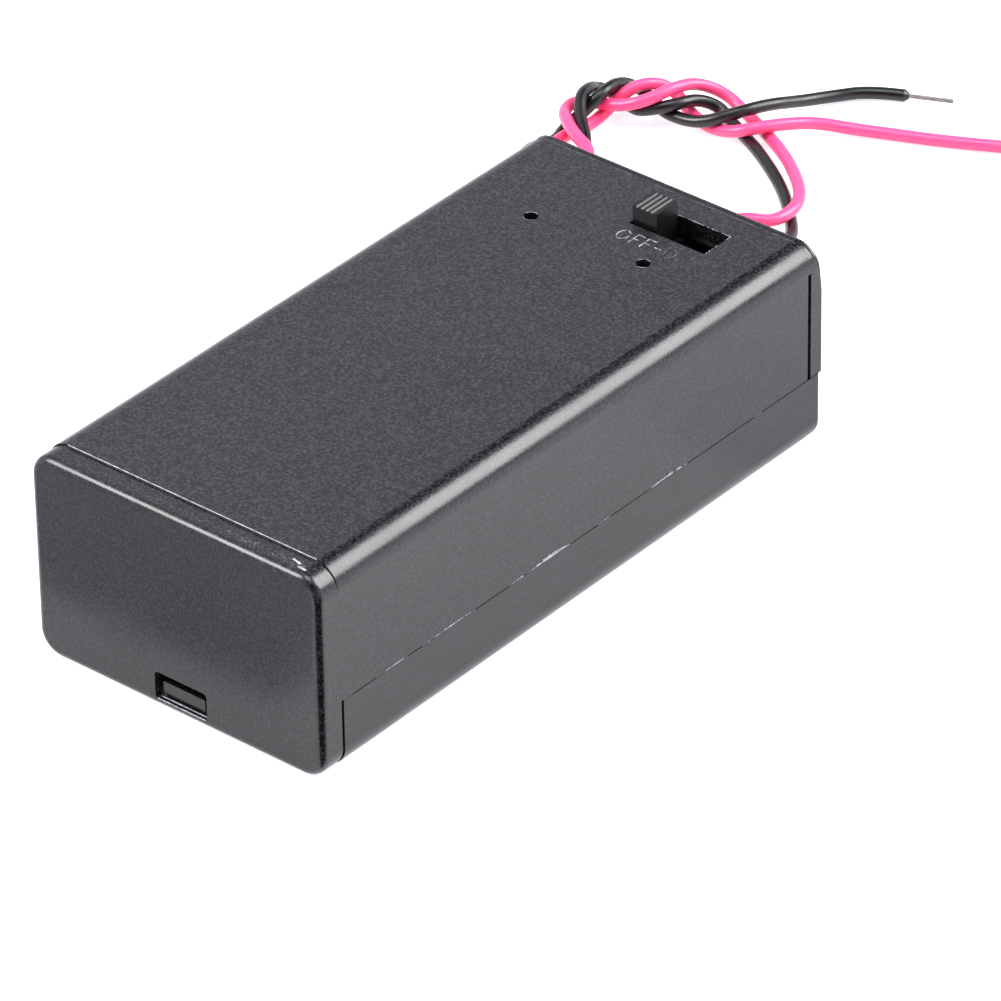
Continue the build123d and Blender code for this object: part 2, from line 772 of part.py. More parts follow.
# Wires inside the box, laid round the screw boss and under the switch
terminal_solder_z = base_top_z - base_thickness - terminal_solder_depth
tag_wire_y = tag_rear_y + lead_radius
plus_joint_x = snap_xs["plus"] - rivet_head_radius - wire_end_gap
minus_joint_x = snap_xs["minus"] + rivet_head_radius + wire_end_gap
blade_front_y = switch_y - terminal_blade_thickness / 2
boss_clear = boss_radius + 1.5 * lead_radius
arch_z = snap_z + tag_radius + 4 * lead_radius
inner_routes = {
    "red_lead_inner": [
        (plus_joint_x - solder_overlap, tag_wire_y, snap_z),
        (screw_x - boss_clear, tag_wire_y + wire_gap, snap_z),
        (red_exit_x + wire_gap, screw_y - boss_radius / 3, red_exit_height + 2 * wire_gap),
        (red_exit_x, inner_rear_y - end_wall, red_exit_height),
        (red_exit_x, rear_y, red_exit_height),
    ],
    "black_lead_inner": [
        (terminal_xs[1], blade_front_y - solder_overlap, terminal_solder_z),
        (terminal_xs[1], blade_front_y - joint_run, terminal_solder_z),
        (terminal_xs[0], tag_wire_y + wire_gap, terminal_solder_z + wire_gap),
        (stake_xs[0], tag_wire_y, terminal_solder_z + lead_radius),
        (screw_x + 0.8 * boss_radius, tag_wire_y, arch_z - lead_radius),
        (screw_x - 0.6 * boss_radius, tag_wire_y, arch_z),
        (screw_x - boss_clear, screw_y - boss_radius, arch_z - lead_radius / 2),
        (screw_x - boss_clear, screw_y + boss_radius / 3, (arch_z + black_exit_height) / 2),
        (black_exit_x, inner_rear_y - end_wall / 2, black_exit_height + wire_gap),
        (black_exit_x, rear_y, black_exit_height),
    ],
    "jumper_wire": [
        (minus_joint_x, tag_wire_y, snap_z + solder_overlap),
        (terminal_xs[2], tag_wire_y + wire_gap, terminal_solder_z),
        (terminal_xs[2], blade_front_y - solder_overlap, terminal_solder_z),
    ],
}
inner_lines = {}
for wire_name, points in inner_routes.items():
    inner_lines[wire_name] = wire(points, lead_radius, wire_name)

# Solder: a bead on each tag and in front of each wired terminal, cut square where its wire begins
joints = (
    ("solder_plus", plus_joint_x, tag_rear_y, snap_z, Keep.BOTTOM, "red_lead_inner", 0),
    ("solder_minus", minus_joint_x, tag_rear_y, snap_z, Keep.BOTTOM, "jumper_wire", 0),
    ("solder_common", terminal_xs[1], blade_front_y, terminal_solder_z, Keep.TOP, "black_lead_inner", 0),
    ("solder_on", terminal_xs[2], blade_front_y, terminal_solder_z, Keep.TOP, "jumper_wire", 1),
)
for bead_name, bead_x, bead_y, bead_z, free_side, wire_name, wire_end in joints:
    soldered_line = inner_lines[wire_name]
    wire_side = Keep.TOP if wire_end else Keep.BOTTOM
    with BuildPart() as bead:
        with Locations((bead_x, bead_y, bead_z)):
            Sphere(solder_radius)
        split(bisect_by=cross_plane(bead_y), keep=free_side)
        wire_face = Plane(origin=soldered_line @ wire_end, z_dir=soldered_line % wire_end)
        split(bisect_by=wire_face, keep=wire_side)
    finish(bead.part, bead_name)

# Leads outside the box: each point is measured from the lead's hole in the rear face,
# across and rearwards, and from the floor
red_route = [
    (0.0, 0.0, 10.4),
    (0.0, 3.45, 10.4),
    (-0.4, 7.85, 8.55),
    (-0.7, 12.85, 5.35),
    (-0.8, 17.75, 2.23),
    (-0.6, 20.95, 0.68),
    (0.7, 22.75, 0.99),
    (2.2, 23.15, 2.04),
    (4.9, 24.45, 1.9),
    (4.6, 29.25, 2.0),
    (-0.9, 34.15, 1.6),
    (-6.3, 37.95, 0.67),
    (-11.0, 39.95, 0.87),
    (-13.9, 40.45, 1.77),
    (-15.9, 38.45, 3.05),
    (-16.2, 35.35, 3.87),
    (-17.0, 32.35, 3.56),
    (-19.6, 31.25, 2.39),
    (-21.9, 31.15, 2.0),
    (-23.3, 30.35, 2.08),
    (-23.8, 29.05, 2.25),
    (-23.4, 27.35, 2.42),
    (-21.5, 25.45, 2.84),
    (-18.7, 23.45, 3.1),
    (-16.0, 22.25, 3.17),
    (-14.9, 20.45, 2.56),
    (-15.4, 18.15, 1.56),
    (-17.5, 16.65, 0.85),
    (-20.1, 17.65, 0.65),
    (-21.6, 20.95, 0.69),
    (-22.0, 25.15, 0.93),
    (-21.6, 28.75, 0.65),
    (-21.8, 31.85, 0.71),
    (-20.7, 33.15, 2.58),
    (-19.6, 34.65, 3.34),
    (-18.9, 36.75, 2.68),
    (-17.4, 37.75, 1.57),
    (-15.1, 36.75, 0.65),
    (-12.2, 35.85, 0.65),
    (-9.1, 35.25, 1.48),
    (-7.0, 36.25, 2.27),
    (-5.6, 39.25, 1.89),
    (-4.0, 42.45, 1.1),
    (-0.9, 44.05, 0.8),
    (2.6, 45.75, 0.7),
    (6.6, 47.45, 0.68),
    (11.4, 49.95, 0.68),
    (16.7, 53.05, 0.68),
]
black_route = [
    (0.0, 0.0, 12.8),
    (0.0, 3.65, 12.8),
    (0.7, 8.25, 10.85),
    (2.1, 13.15, 7.39),
    (3.8, 17.75, 3.74),
    (5.0, 21.85, 1.35),
    (4.6, 25.05, 0.65),
    (1.6, 28.35, 0.67),
    (-1.8, 31.35, 0.65),
    (-6.6, 34.35, 1.07),
    (-10.7, 36.75, 0.65),
    (-13.5, 38.15, 0.69),
    (-15.2, 38.65, 1.37),
    (-17.0, 37.45, 2.09),
    (-17.0, 34.75, 2.77),
    (-19.7, 32.25, 2.1),
    (-21.8, 33.05, 1.27),
    (-23.4, 34.15, 0.98),
    (-25.0, 33.95, 1.66),
    (-25.7, 32.55, 2.45),
    (-25.0, 30.75, 3.42),
    (-24.4, 28.65, 3.71),
    (-22.8, 26.65, 2.8),
    (-20.2, 24.55, 1.9),
    (-18.7, 21.45, 1.88),
    (-18.9, 18.45, 2.04),
    (-21.1, 17.25, 2.01),
    (-23.6, 18.95, 1.8),
    (-25.0, 21.75, 1.24),
    (-25.4, 24.55, 0.69),
    (-25.4, 27.05, 0.69),
    (-24.1, 29.05, 2.0),
    (-23.4, 30.55, 3.44),
    (-23.7, 32.75, 3.37),
    (-23.7, 34.95, 2.62),
    (-22.8, 35.95, 1.57),
    (-21.2, 35.95, 0.9),
    (-18.9, 34.45, 1.25),
    (-14.2, 34.35, 1.6),
    (-11.4, 36.55, 3.07),
    (-10.5, 40.25, 2.38),
    (-9.9, 44.25, 1.43),
    (-8.5, 48.05, 0.85),
    (-6.3, 51.55, 0.7),
    (-3.5, 52.85, 0.66),
]
for lead_name, exit_x, route_points in (
    ("red", red_exit_x, red_route),
    ("black", black_exit_x, black_route),
):
    lead_points = [(exit_x + x, rear_y + y, z) for x, y, z in route_points]
    lead_line = wire(lead_points, lead_radius, f"{lead_name}_lead")
    strand_start = lead_line @ 1
    with BuildPart() as tip:
        with BuildSketch(Plane(origin=strand_start, z_dir=lead_line % 1)):
            Circle(strand_radius)
        extrude(amount=strand_length)
    finish(tip.part, f"{lead_name}_tip")
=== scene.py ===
"""Nine volt battery holder: a black two-part box with a slide switch, battery snaps and two free leads."""

import logging
import math
import random
from dataclasses import dataclass
from enum import Enum

import bmesh
import bpy
from mathutils import Matrix, Vector

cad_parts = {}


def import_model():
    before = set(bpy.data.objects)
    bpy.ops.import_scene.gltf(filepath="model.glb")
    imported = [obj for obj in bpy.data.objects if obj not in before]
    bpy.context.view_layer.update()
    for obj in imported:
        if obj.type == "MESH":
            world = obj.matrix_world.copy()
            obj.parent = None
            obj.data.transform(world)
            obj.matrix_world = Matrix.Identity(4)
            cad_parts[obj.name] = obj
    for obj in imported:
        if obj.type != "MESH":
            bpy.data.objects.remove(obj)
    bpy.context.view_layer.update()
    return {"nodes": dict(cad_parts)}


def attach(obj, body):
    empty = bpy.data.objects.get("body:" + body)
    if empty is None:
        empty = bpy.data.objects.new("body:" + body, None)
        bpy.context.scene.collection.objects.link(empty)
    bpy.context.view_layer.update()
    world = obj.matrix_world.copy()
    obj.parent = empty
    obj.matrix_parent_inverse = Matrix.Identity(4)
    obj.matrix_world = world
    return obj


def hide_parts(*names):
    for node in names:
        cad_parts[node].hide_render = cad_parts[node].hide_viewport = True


LOG = logging.getLogger("battery_holder")
MM = 0.001

Point = tuple[float, float, float]
Flat = tuple[float, float]
Pair = tuple[float, float]
Triple = tuple[float, float, float]

# Levels of finer noise that lie over a pattern's blobs.
FEW, SOME, MANY, MOST = 2.0, 3.0, 4.0, 5.0
# Noise seldom leaves this range.
NOISE_LOW, NOISE_HIGH = 0.3, 0.7
LEAST_ROUGHNESS = 0.02


class Side(Enum):
    """The two long sides of the box."""

    LEFT = -1
    RIGHT = 1


class Lay(Enum):
    """Which way marks run over a surface, as how much finer they are across X, Y and Z."""

    EVEN = (1.0, 1.0, 1.0)
    ALONG = (5.0, 0.25, 5.0)
    UPRIGHT = (5.0, 5.0, 0.3)


def linear(code: str) -> tuple[float, float, float, float]:
    """Turn an sRGB hex value into linear colour.

    Args:
        code: Six hex digits, with or without a leading hash.

    Returns:
        Linear red, green and blue with an alpha of 1.
    """
    digits = code.lstrip("#")
    channels = [int(digits[place : place + 2], 16) / 255 for place in (0, 2, 4)]
    # The curve of the sRGB standard.
    curved = [c / 12.92 if c <= 0.04045 else ((c + 0.055) / 1.055) ** 2.4 for c in channels]
    return (curved[0], curved[1], curved[2], 1.0)


def add_node(
    tree: bpy.types.NodeTree, kind: str, inputs: dict | None = None, **settings: object
) -> bpy.types.Node:
    """Add a node with its settings, its fixed values and its links.

    Args:
        tree: The node tree that gets the node.
        kind: The node's type name.
        inputs: For each socket's name or number, a value, the output that feeds it, or a node whose
            first output does.
        settings: The node's own properties.

    Returns:
        The new node.
    """
    node = tree.nodes.new(kind)
    for name, value in settings.items():
        setattr(node, name, value)
    for socket, value in (inputs or {}).items():
        source = value.outputs[0] if isinstance(value, bpy.types.Node) else value
        if isinstance(source, bpy.types.NodeSocket):
            tree.links.new(source, node.inputs[socket])
        else:
            node.inputs[socket].default_value = source
    return node


def deselect() -> None:
    """Leave edit mode and deselect everything."""
    if bpy.context.object and bpy.context.object.mode != "OBJECT":
        bpy.ops.object.mode_set(mode="OBJECT")
    bpy.ops.object.select_all(action="DESELECT")


def take(piece: bpy.types.Object) -> None:
    """Make one piece the only selected and the active one.

    Args:
        piece: The piece that the next operator acts on.
    """
    deselect()
    piece.select_set(True)
    bpy.context.view_layer.objects.active = piece


def settle(piece: bpy.types.Object) -> bpy.types.Object:
    """Move a piece's place, turn and scale into its mesh.

    Args:
        piece: The piece.

    Returns:
        The same piece.
    """
    take(piece)
    bpy.ops.object.transform_apply(location=True, rotation=True, scale=True)
    return piece


def apply_modifiers(piece: bpy.types.Object) -> None:
    """Apply all of a piece's modifiers in order.

    Args:
        piece: The piece.
    """
    take(piece)
    for name in [modifier.name for modifier in piece.modifiers]:
        bpy.ops.object.modifier_apply(modifier=name)


def join(pieces: list[bpy.types.Object], name: str) -> bpy.types.Object:
    """Join meshes into one.

    Args:
        pieces: The meshes to join.
        name: The name of the joined piece.

    Returns:
        The joined piece.
    """
    take(pieces[0])
    for piece in pieces:
        piece.select_set(True)
    bpy.ops.object.join()
    pieces[0].name = name
    return pieces[0]


def to_mesh(piece: bpy.types.Object) -> bpy.types.Object:
    """Turn a curve object into a mesh.

    Args:
        piece: The curve object.

    Returns:
        The mesh object.
    """
    take(piece)
    bpy.ops.object.convert(target="MESH")
    return bpy.context.object


def finish_piece(
    piece: bpy.types.Object, material: bpy.types.Material, body: str
) -> bpy.types.Object:
    """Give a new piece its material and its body.

    Args:
        piece: The finished mesh or curve.
        material: The material that it shows.
        body: The body that it moves with.

    Returns:
        The same piece.
    """
    piece.data.materials.clear()
    piece.data.materials.append(material)
    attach(piece, body)
    LOG.info("%s rides on %s", piece.name, body)
    return piece


@dataclass(frozen=True)
class Marks:
    """One pattern that the making left: its blobs in a millimetre, its levels of finer noise and its lay."""

    per_mm: float
    levels: float
    lay: Lay = Lay.EVEN


@dataclass
class Surface:
    """A material that is being built, with its patterns set out in millimetres."""

    tree: bpy.types.NodeTree
    shader: bpy.types.Node
    normal: bpy.types.NodeSocket
    millimetres: bpy.types.Node
    relief: bpy.types.Node | None = None

    def spread(self, marks: Marks) -> bpy.types.Node:
        """Spread marks over the surface.

        Args:
            marks: The pattern.

        Returns:
            The node whose first output is the pattern's value, around a half.
        """
        stretched = {"Vector": self.millimetres, "Scale": marks.lay.value}
        laid = add_node(self.tree, "ShaderNodeMapping", stretched)
        pattern = {"Vector": laid, "Scale": marks.per_mm, "Detail": marks.levels}
        return add_node(self.tree, "ShaderNodeTexNoise", pattern)

    def emboss(self, height: bpy.types.Node, depth_mm: float) -> None:
        """Add relief, over the relief that is there.

        Args:
            height: The node that gives the height, from 0 to 1.
            depth_mm: The relief's depth in millimetres.
        """
        inputs: dict = {"Height": height, "Distance": depth_mm * MM, "Strength": 1.0}
        if self.relief is not None:
            inputs["Normal"] = self.relief
        self.relief = add_node(self.tree, "ShaderNodeBump", inputs)
        self.tree.links.new(self.relief.outputs["Normal"], self.shader.inputs["Normal"])


@dataclass(frozen=True)
class Finish:
    """A surface: its material, and how that was made."""

    name: str
    colour: str
    roughness: float
    ior: float = 1.5
    metallic: float = 0.0
    uneven: float = 0.04

    def material(self) -> bpy.types.Material:
        """Build the material.

        Returns:
            A material whose details are set out in millimetres.
        """
        made = bpy.data.materials.new(self.name)
        made.use_nodes = True
        tree = made.node_tree
        tree.nodes.clear()
        shader = add_node(
            tree,
            "ShaderNodeBsdfPrincipled",
            {
                "Base Color": linear(self.colour),
                "Roughness": self.roughness,
                "Metallic": self.metallic,
            },
        )
        if not self.metallic:
            shader.inputs["IOR"].default_value = self.ior
        add_node(tree, "ShaderNodeOutputMaterial", {"Surface": shader})
        place = add_node(tree, "ShaderNodeTexCoord")
        scaled = {0: place.outputs["Object"], "Scale": 1 / MM}
        millimetres = add_node(tree, "ShaderNodeVectorMath", scaled, operation="SCALE")
        self.detail(Surface(tree, shader, place.outputs["Normal"], millimetres))
        return made

    def detail(self, surface: Surface) -> None:
        """Add what the making left on the surface."""
        raise NotImplementedError

    def roughen(self, surface: Surface, pattern: bpy.types.Node) -> None:
        """Vary the roughness by a pattern, as far each way as the finish is uneven.

        Args:
            surface: The material that is being built.
            pattern: The pattern.
        """
        varied = add_node(
            surface.tree,
            "ShaderNodeMapRange",
            {
                "Value": pattern,
                "From Min": NOISE_LOW,
                "From Max": NOISE_HIGH,
                "To Min": max(self.roughness - self.uneven, LEAST_ROUGHNESS),
                "To Max": self.roughness + self.uneven,
            },
        )
        surface.tree.links.new(varied.outputs["Result"], surface.shader.inputs["Roughness"])

    def tint(self, surface: Surface, share: bpy.types.Node, pale: str) -> None:
        """Mix a second colour into the surface.

        Args:
            surface: The material that is being built.
            share: The node that gives the second colour's share, from 0 to 1.
            pale: The second colour.
        """
        # Sockets 6 and 7 are the two colours.
        colours = {0: share, 6: linear(self.colour), 7: linear(pale)}
        mixed = add_node(surface.tree, "ShaderNodeMix", colours, data_type="RGBA")
        surface.tree.links.new(mixed.outputs[2], surface.shader.inputs["Base Color"])


@dataclass(frozen=True)
class SparkedAbs(Finish):
    """Black ABS moulded in a spark-eroded tool: a speckled grain on top with painted grey glints on its tips,
    satin sides, streaked walls inside.

    The real grain is near 0.1 mm. It is drawn coarser than that, as coarse as it needs to show.
    """

    # The grey of the painted glints on the grain's tips.
    pale: str = "#2F2F34"
    grain_mm: float = 0.24
    grain_depth_mm: float = 0.012
    tips: Pair = (0.42, 0.72)
    side_grain: float = 0.7
    upward: Pair = (0.45, 0.95)
    streaks: Marks = Marks(1.0, MANY, Lay.ALONG)
    streak_depth_mm: float = 0.02
    clouds: Marks = Marks(0.12, SOME)
    inner_half_width: float = 14.75
    inner_half_length: float = 33.1
    inner_top: float = 19.35

    def detail(self, surface: Surface) -> None:
        """Add the grain, its tips tinted pale grey as painted glints that are strongest where it faces up and
        weaker on the sides, and the tool marks inside.

        Args:
            surface: The material that is being built.
        """
        tree = surface.tree
        grain = surface.spread(Marks(1 / self.grain_mm, FEW))
        facing = add_node(tree, "ShaderNodeSeparateXYZ", {"Vector": surface.normal})
        upward = add_node(
            tree,
            "ShaderNodeMapRange",
            {
                "Value": facing.outputs["Z"],
                "From Min": self.upward[0],
                "From Max": self.upward[1],
                "To Min": self.side_grain,
                "To Max": 1.0,
            },
            interpolation_type="SMOOTHSTEP",
        )
        inside = self.inside(surface)
        outside = add_node(tree, "ShaderNodeMath", {0: 1.0, 1: inside}, operation="SUBTRACT")
        strength = add_node(tree, "ShaderNodeMath", {0: upward, 1: outside}, operation="MULTIPLY")
        limits = {"Value": grain, "From Min": self.tips[0], "From Max": self.tips[1]}
        tips = add_node(tree, "ShaderNodeMapRange", limits)
        # Painted glints: the grain's tips are tinted pale, most where the surface faces up.
        share = add_node(tree, "ShaderNodeMath", {0: tips, 1: strength}, operation="MULTIPLY")
        self.tint(surface, share, self.pale)
        raised = add_node(tree, "ShaderNodeMath", {0: grain, 1: strength}, operation="MULTIPLY")
        surface.emboss(raised, self.grain_depth_mm)
        streaks = surface.spread(self.streaks)
        dragged = add_node(tree, "ShaderNodeMath", {0: streaks, 1: inside}, operation="MULTIPLY")
        surface.emboss(dragged, self.streak_depth_mm)
        self.roughen(surface, surface.spread(self.clouds))

    def inside(self, surface: Surface) -> bpy.types.Node:
        """Tell the inside of the tray from its outside.

        Args:
            surface: The material that is being built.

        Returns:
            The node that gives 1 inside the walls and 0 outside them.
        """
        apart = add_node(surface.tree, "ShaderNodeSeparateXYZ", {"Vector": surface.millimetres})
        limits = {"X": self.inner_half_width, "Y": self.inner_half_length, "Z": self.inner_top}
        inside: object = 1.0
        for axis, limit in limits.items():
            out = add_node(surface.tree, "ShaderNodeMath", {0: apart.outputs[axis]}, operation="ABSOLUTE")
            within = add_node(surface.tree, "ShaderNodeMath", {0: out, 1: limit}, operation="LESS_THAN")
            inside = add_node(surface.tree, "ShaderNodeMath", {0: inside, 1: within}, operation="MULTIPLY")
        return inside


@dataclass(frozen=True)
class SatinAbs(Finish):
    """Black ABS moulded in a polished tool that has worn satin, with faint drag marks.

    The marks are drawn coarser than a worn tool's own, as coarse as they need to show.
    """

    pale: str = "#222226"
    drags: Marks = Marks(0.8, SOME, Lay.ALONG)
    drag_depth_mm: float = 0.004
    grain: Marks = Marks(4.0, FEW)
    grain_depth_mm: float = 0.0018
    tips: Pair = (0.16, 0.42)
    clouds: Marks = Marks(0.15, SOME)

    def detail(self, surface: Surface) -> None:
        """Add the drag marks and a very fine grain.

        Args:
            surface: The material that is being built.
        """
        drags = surface.spread(self.drags)
        grain = surface.spread(self.grain)
        surface.emboss(drags, self.drag_depth_mm)
        surface.emboss(grain, self.grain_depth_mm)
        both = add_node(surface.tree, "ShaderNodeMath", {0: drags, 1: grain}, operation="MULTIPLY")
        limits = {"Value": both, "From Min": self.tips[0], "From Max": self.tips[1]}
        tips = add_node(surface.tree, "ShaderNodeMapRange", limits)
        self.tint(surface, tips, self.pale)
        self.roughen(surface, surface.spread(self.clouds))


@dataclass(frozen=True)
class PalePatchAbs(Finish):
    """Black ABS drawn pale grey in patches on edges, burrs and raised lines: partly whitened by rubbing,
    partly painted highlight where they catch the light.
    """

    uneven: float = 0.08
    pale: str = "#9A9A9F"
    patch_mm: float = 0.7
    paled: Pair = (0.35, 0.65)

    def detail(self, surface: Surface) -> None:
        """Add the pale patches: whitening and painted highlight.

        Args:
            surface: The material that is being built.
        """
        patches = surface.spread(Marks(1 / self.patch_mm, MANY))
        limits = {"Value": patches, "From Min": self.paled[0], "From Max": self.paled[1]}
        white = add_node(surface.tree, "ShaderNodeMapRange", limits)
        self.tint(surface, white, self.pale)
        self.roughen(surface, patches)


@dataclass(frozen=True)
class ExtrudedPvc(Finish):
    """Soft PVC extruded over stranded wire: an even gloss with light rub marks."""

    uneven: float = 0.1
    waves: Marks = Marks(0.9, FEW)
    wave_depth_mm: float = 0.006
    rubs: Marks = Marks(0.5, MANY)

    def detail(self, surface: Surface) -> None:
        """Add the skin's slow waves and the rub marks."""
        surface.emboss(surface.spread(self.waves), self.wave_depth_mm)
        self.roughen(surface, surface.spread(self.rubs))


@dataclass(frozen=True)
class PlatedMetal(Finish):
    """Drawn or rolled metal under a thin plating, with a faint orange peel."""

    metallic: float = 1.0
    uneven: float = 0.06
    peel_mm: float = 0.6
    peel_depth_mm: float = 0.006
    clouds: Marks = Marks(0.8, MANY)

    def detail(self, surface: Surface) -> None:
        """Add the orange peel and uneven brightness."""
        surface.emboss(surface.spread(Marks(1 / self.peel_mm, FEW)), self.peel_depth_mm)
        self.roughen(surface, surface.spread(self.clouds))


@dataclass(frozen=True)
class PunchedLaminate(Finish):
    """Brown phenolic paper laminate: mottled, with a fibre sheen."""

    uneven: float = 0.08
    pale: str = "#140D08"
    fibres: Marks = Marks(0.6, MOST, Lay.ALONG)

    def detail(self, surface: Surface) -> None:
        """Add the paper's mottling.

        Args:
            surface: The material that is being built.
        """
        fibres = surface.spread(self.fibres)
        self.tint(surface, fibres, self.pale)
        self.roughen(surface, fibres)


class Palette:
    """All the finishes of the holder, each made once."""

    def __init__(self) -> None:
        """Build the materials."""
        # Black ABS from a spark-eroded tool: near black, with a fine grey sparkle where it faces up, painted
        # into the colour as glints on the grain.
        self.case = SparkedAbs("abs_spark_eroded", "#060607", 0.27).material()
        # The same ABS from a polished, worn tool: smoother, with long soft reflections.
        self.cover = SatinAbs("abs_satin_moulded", "#08080A", 0.3).material()
        # ABS whitened where it was rubbed, with painted highlight where edges catch the light: broken pale
        # threads on a black edge.
        self.rubbed_and_highlit = PalePatchAbs("abs_edge_rubbed_and_highlit", "#151517", 0.38).material()
        # Painted highlight: a bright grey line, almost unbroken, where an edge catches the light.
        self.painted_highlight = PalePatchAbs("abs_edge_painted_highlight", "#6C6C70", 0.32, pale="#B0B0B4").material()
        # Faint painted highlight: a dull grey trace that hardly stands out.
        self.faint_highlight = PalePatchAbs("abs_edge_faint_highlight", "#121214", 0.42, pale="#4C4C51").material()
        # ABS moulded with upright draw marks: a flat deep black.
        upright = Marks(0.8, SOME, Lay.UPRIGHT)
        self.knob = SatinAbs("abs_knob_moulded", "#020203", 0.44, pale="#08080A", drags=upright).material()
        # ABS from a polished tool: glossy black with small clear highlights.
        self.retainer = SatinAbs("abs_bar_moulded", "#0B0B0C", 0.22).material()
        # Rolled plastic sheet: even black with a low sheen.
        self.board = SatinAbs("abs_sheet_rolled", "#0A0A0B", 0.36).material()
        # ABS melted under the staking tool: lumpy and dull all over, with the same painted grey glints on its
        # grain.
        self.melted = SparkedAbs(
            "abs_melted_rough",
            "#0B0B0C",
            0.42,
            grain_mm=0.3,
            grain_depth_mm=0.05,
            side_grain=1.0,
            inner_top=0.0,
        ).material()
        # Brass drawn and nickel-plated: a warm white mirror.
        self.nickel = PlatedMetal("brass_nickel_plated", "#D9D5CD", 0.12).material()
        # Steel folded, zinc-plated and blackened: dark, with dull glints on its folds.
        self.steel = PlatedMetal("steel_zinc_blackened", "#2E2F31", 0.42, peel_mm=0.3).material()
        # Brass punched and tin-plated: pale grey and half dull.
        self.tinned = PlatedMetal("brass_tin_plated", "#C9C9C4", 0.32).material()
        # Brass silver-plated and dulled by air: a brownish grey that hardly shines.
        self.silvered = PlatedMetal("brass_silvered_dulled", "#8A857A", 0.42).material()
        # Spring bronze rolled and tarnished: dark brown with a soft glint.
        self.bronze = PlatedMetal("bronze_spring_tarnished", "#3B2A1E", 0.42).material()
        # Phenolic paper punched from sheet: mottled and dull, its brown darkened nearly to black, as dark as
        # the slot it lies in.
        self.laminate = PunchedLaminate("phenolic_punched", "#060403", 0.6).material()
        # Red PVC extruded soft: a strong pinkish red with one clear line of light along it.
        self.red = ExtrudedPvc("pvc_red_extruded", "#F5457A", 0.34).material()
        # Black PVC extruded soft: black with the same line of light.
        self.black = ExtrudedPvc("pvc_black_extruded", "#08080A", 0.33).material()
        # Copper drawn thin and tinned: dull pale grey threads.
        self.strand = PlatedMetal("copper_tinned_strand", "#918E89", 0.55, peel_mm=0.2).material()
        # Solder that set as a drop: bright and gently dimpled.
        self.solder = PlatedMetal(
            "solder_cooled_bead", "#BFC0C2", 0.22, peel_mm=0.9, peel_depth_mm=0.03
        ).material()

    def nodes(self) -> dict[str, bpy.types.Material]:
        """Say which finish each carried-over solid shows.

        Returns:
            The material for each node's name.
        """
        shown = (
            (self.case, ("case_tray",)),
            (self.cover, ("cover",)),
            (self.steel, ("cover_screw", "switch_shell")),
            (self.board, ("snap_board",)),
            (self.nickel, ("minus_stud", "plus_socket", "minus_rivet", "plus_rivet")),
            (self.tinned, ("minus_tag", "plus_tag")),
            (self.laminate, ("switch_base",)),
            (self.silvered, ("switch_terminal_off", "switch_terminal_common", "switch_terminal_on")),
            (self.knob, ("switch_knob",)),
            (self.bronze, ("switch_clip",)),
            (self.retainer, ("switch_retainer",)),
            (self.red, ("red_lead_inner",)),
            (self.black, ("black_lead_inner", "jumper_wire")),
            (self.solder, ("solder_plus", "solder_minus", "solder_common", "solder_on")),
        )
        return {name: material for material, names in shown for name in names}


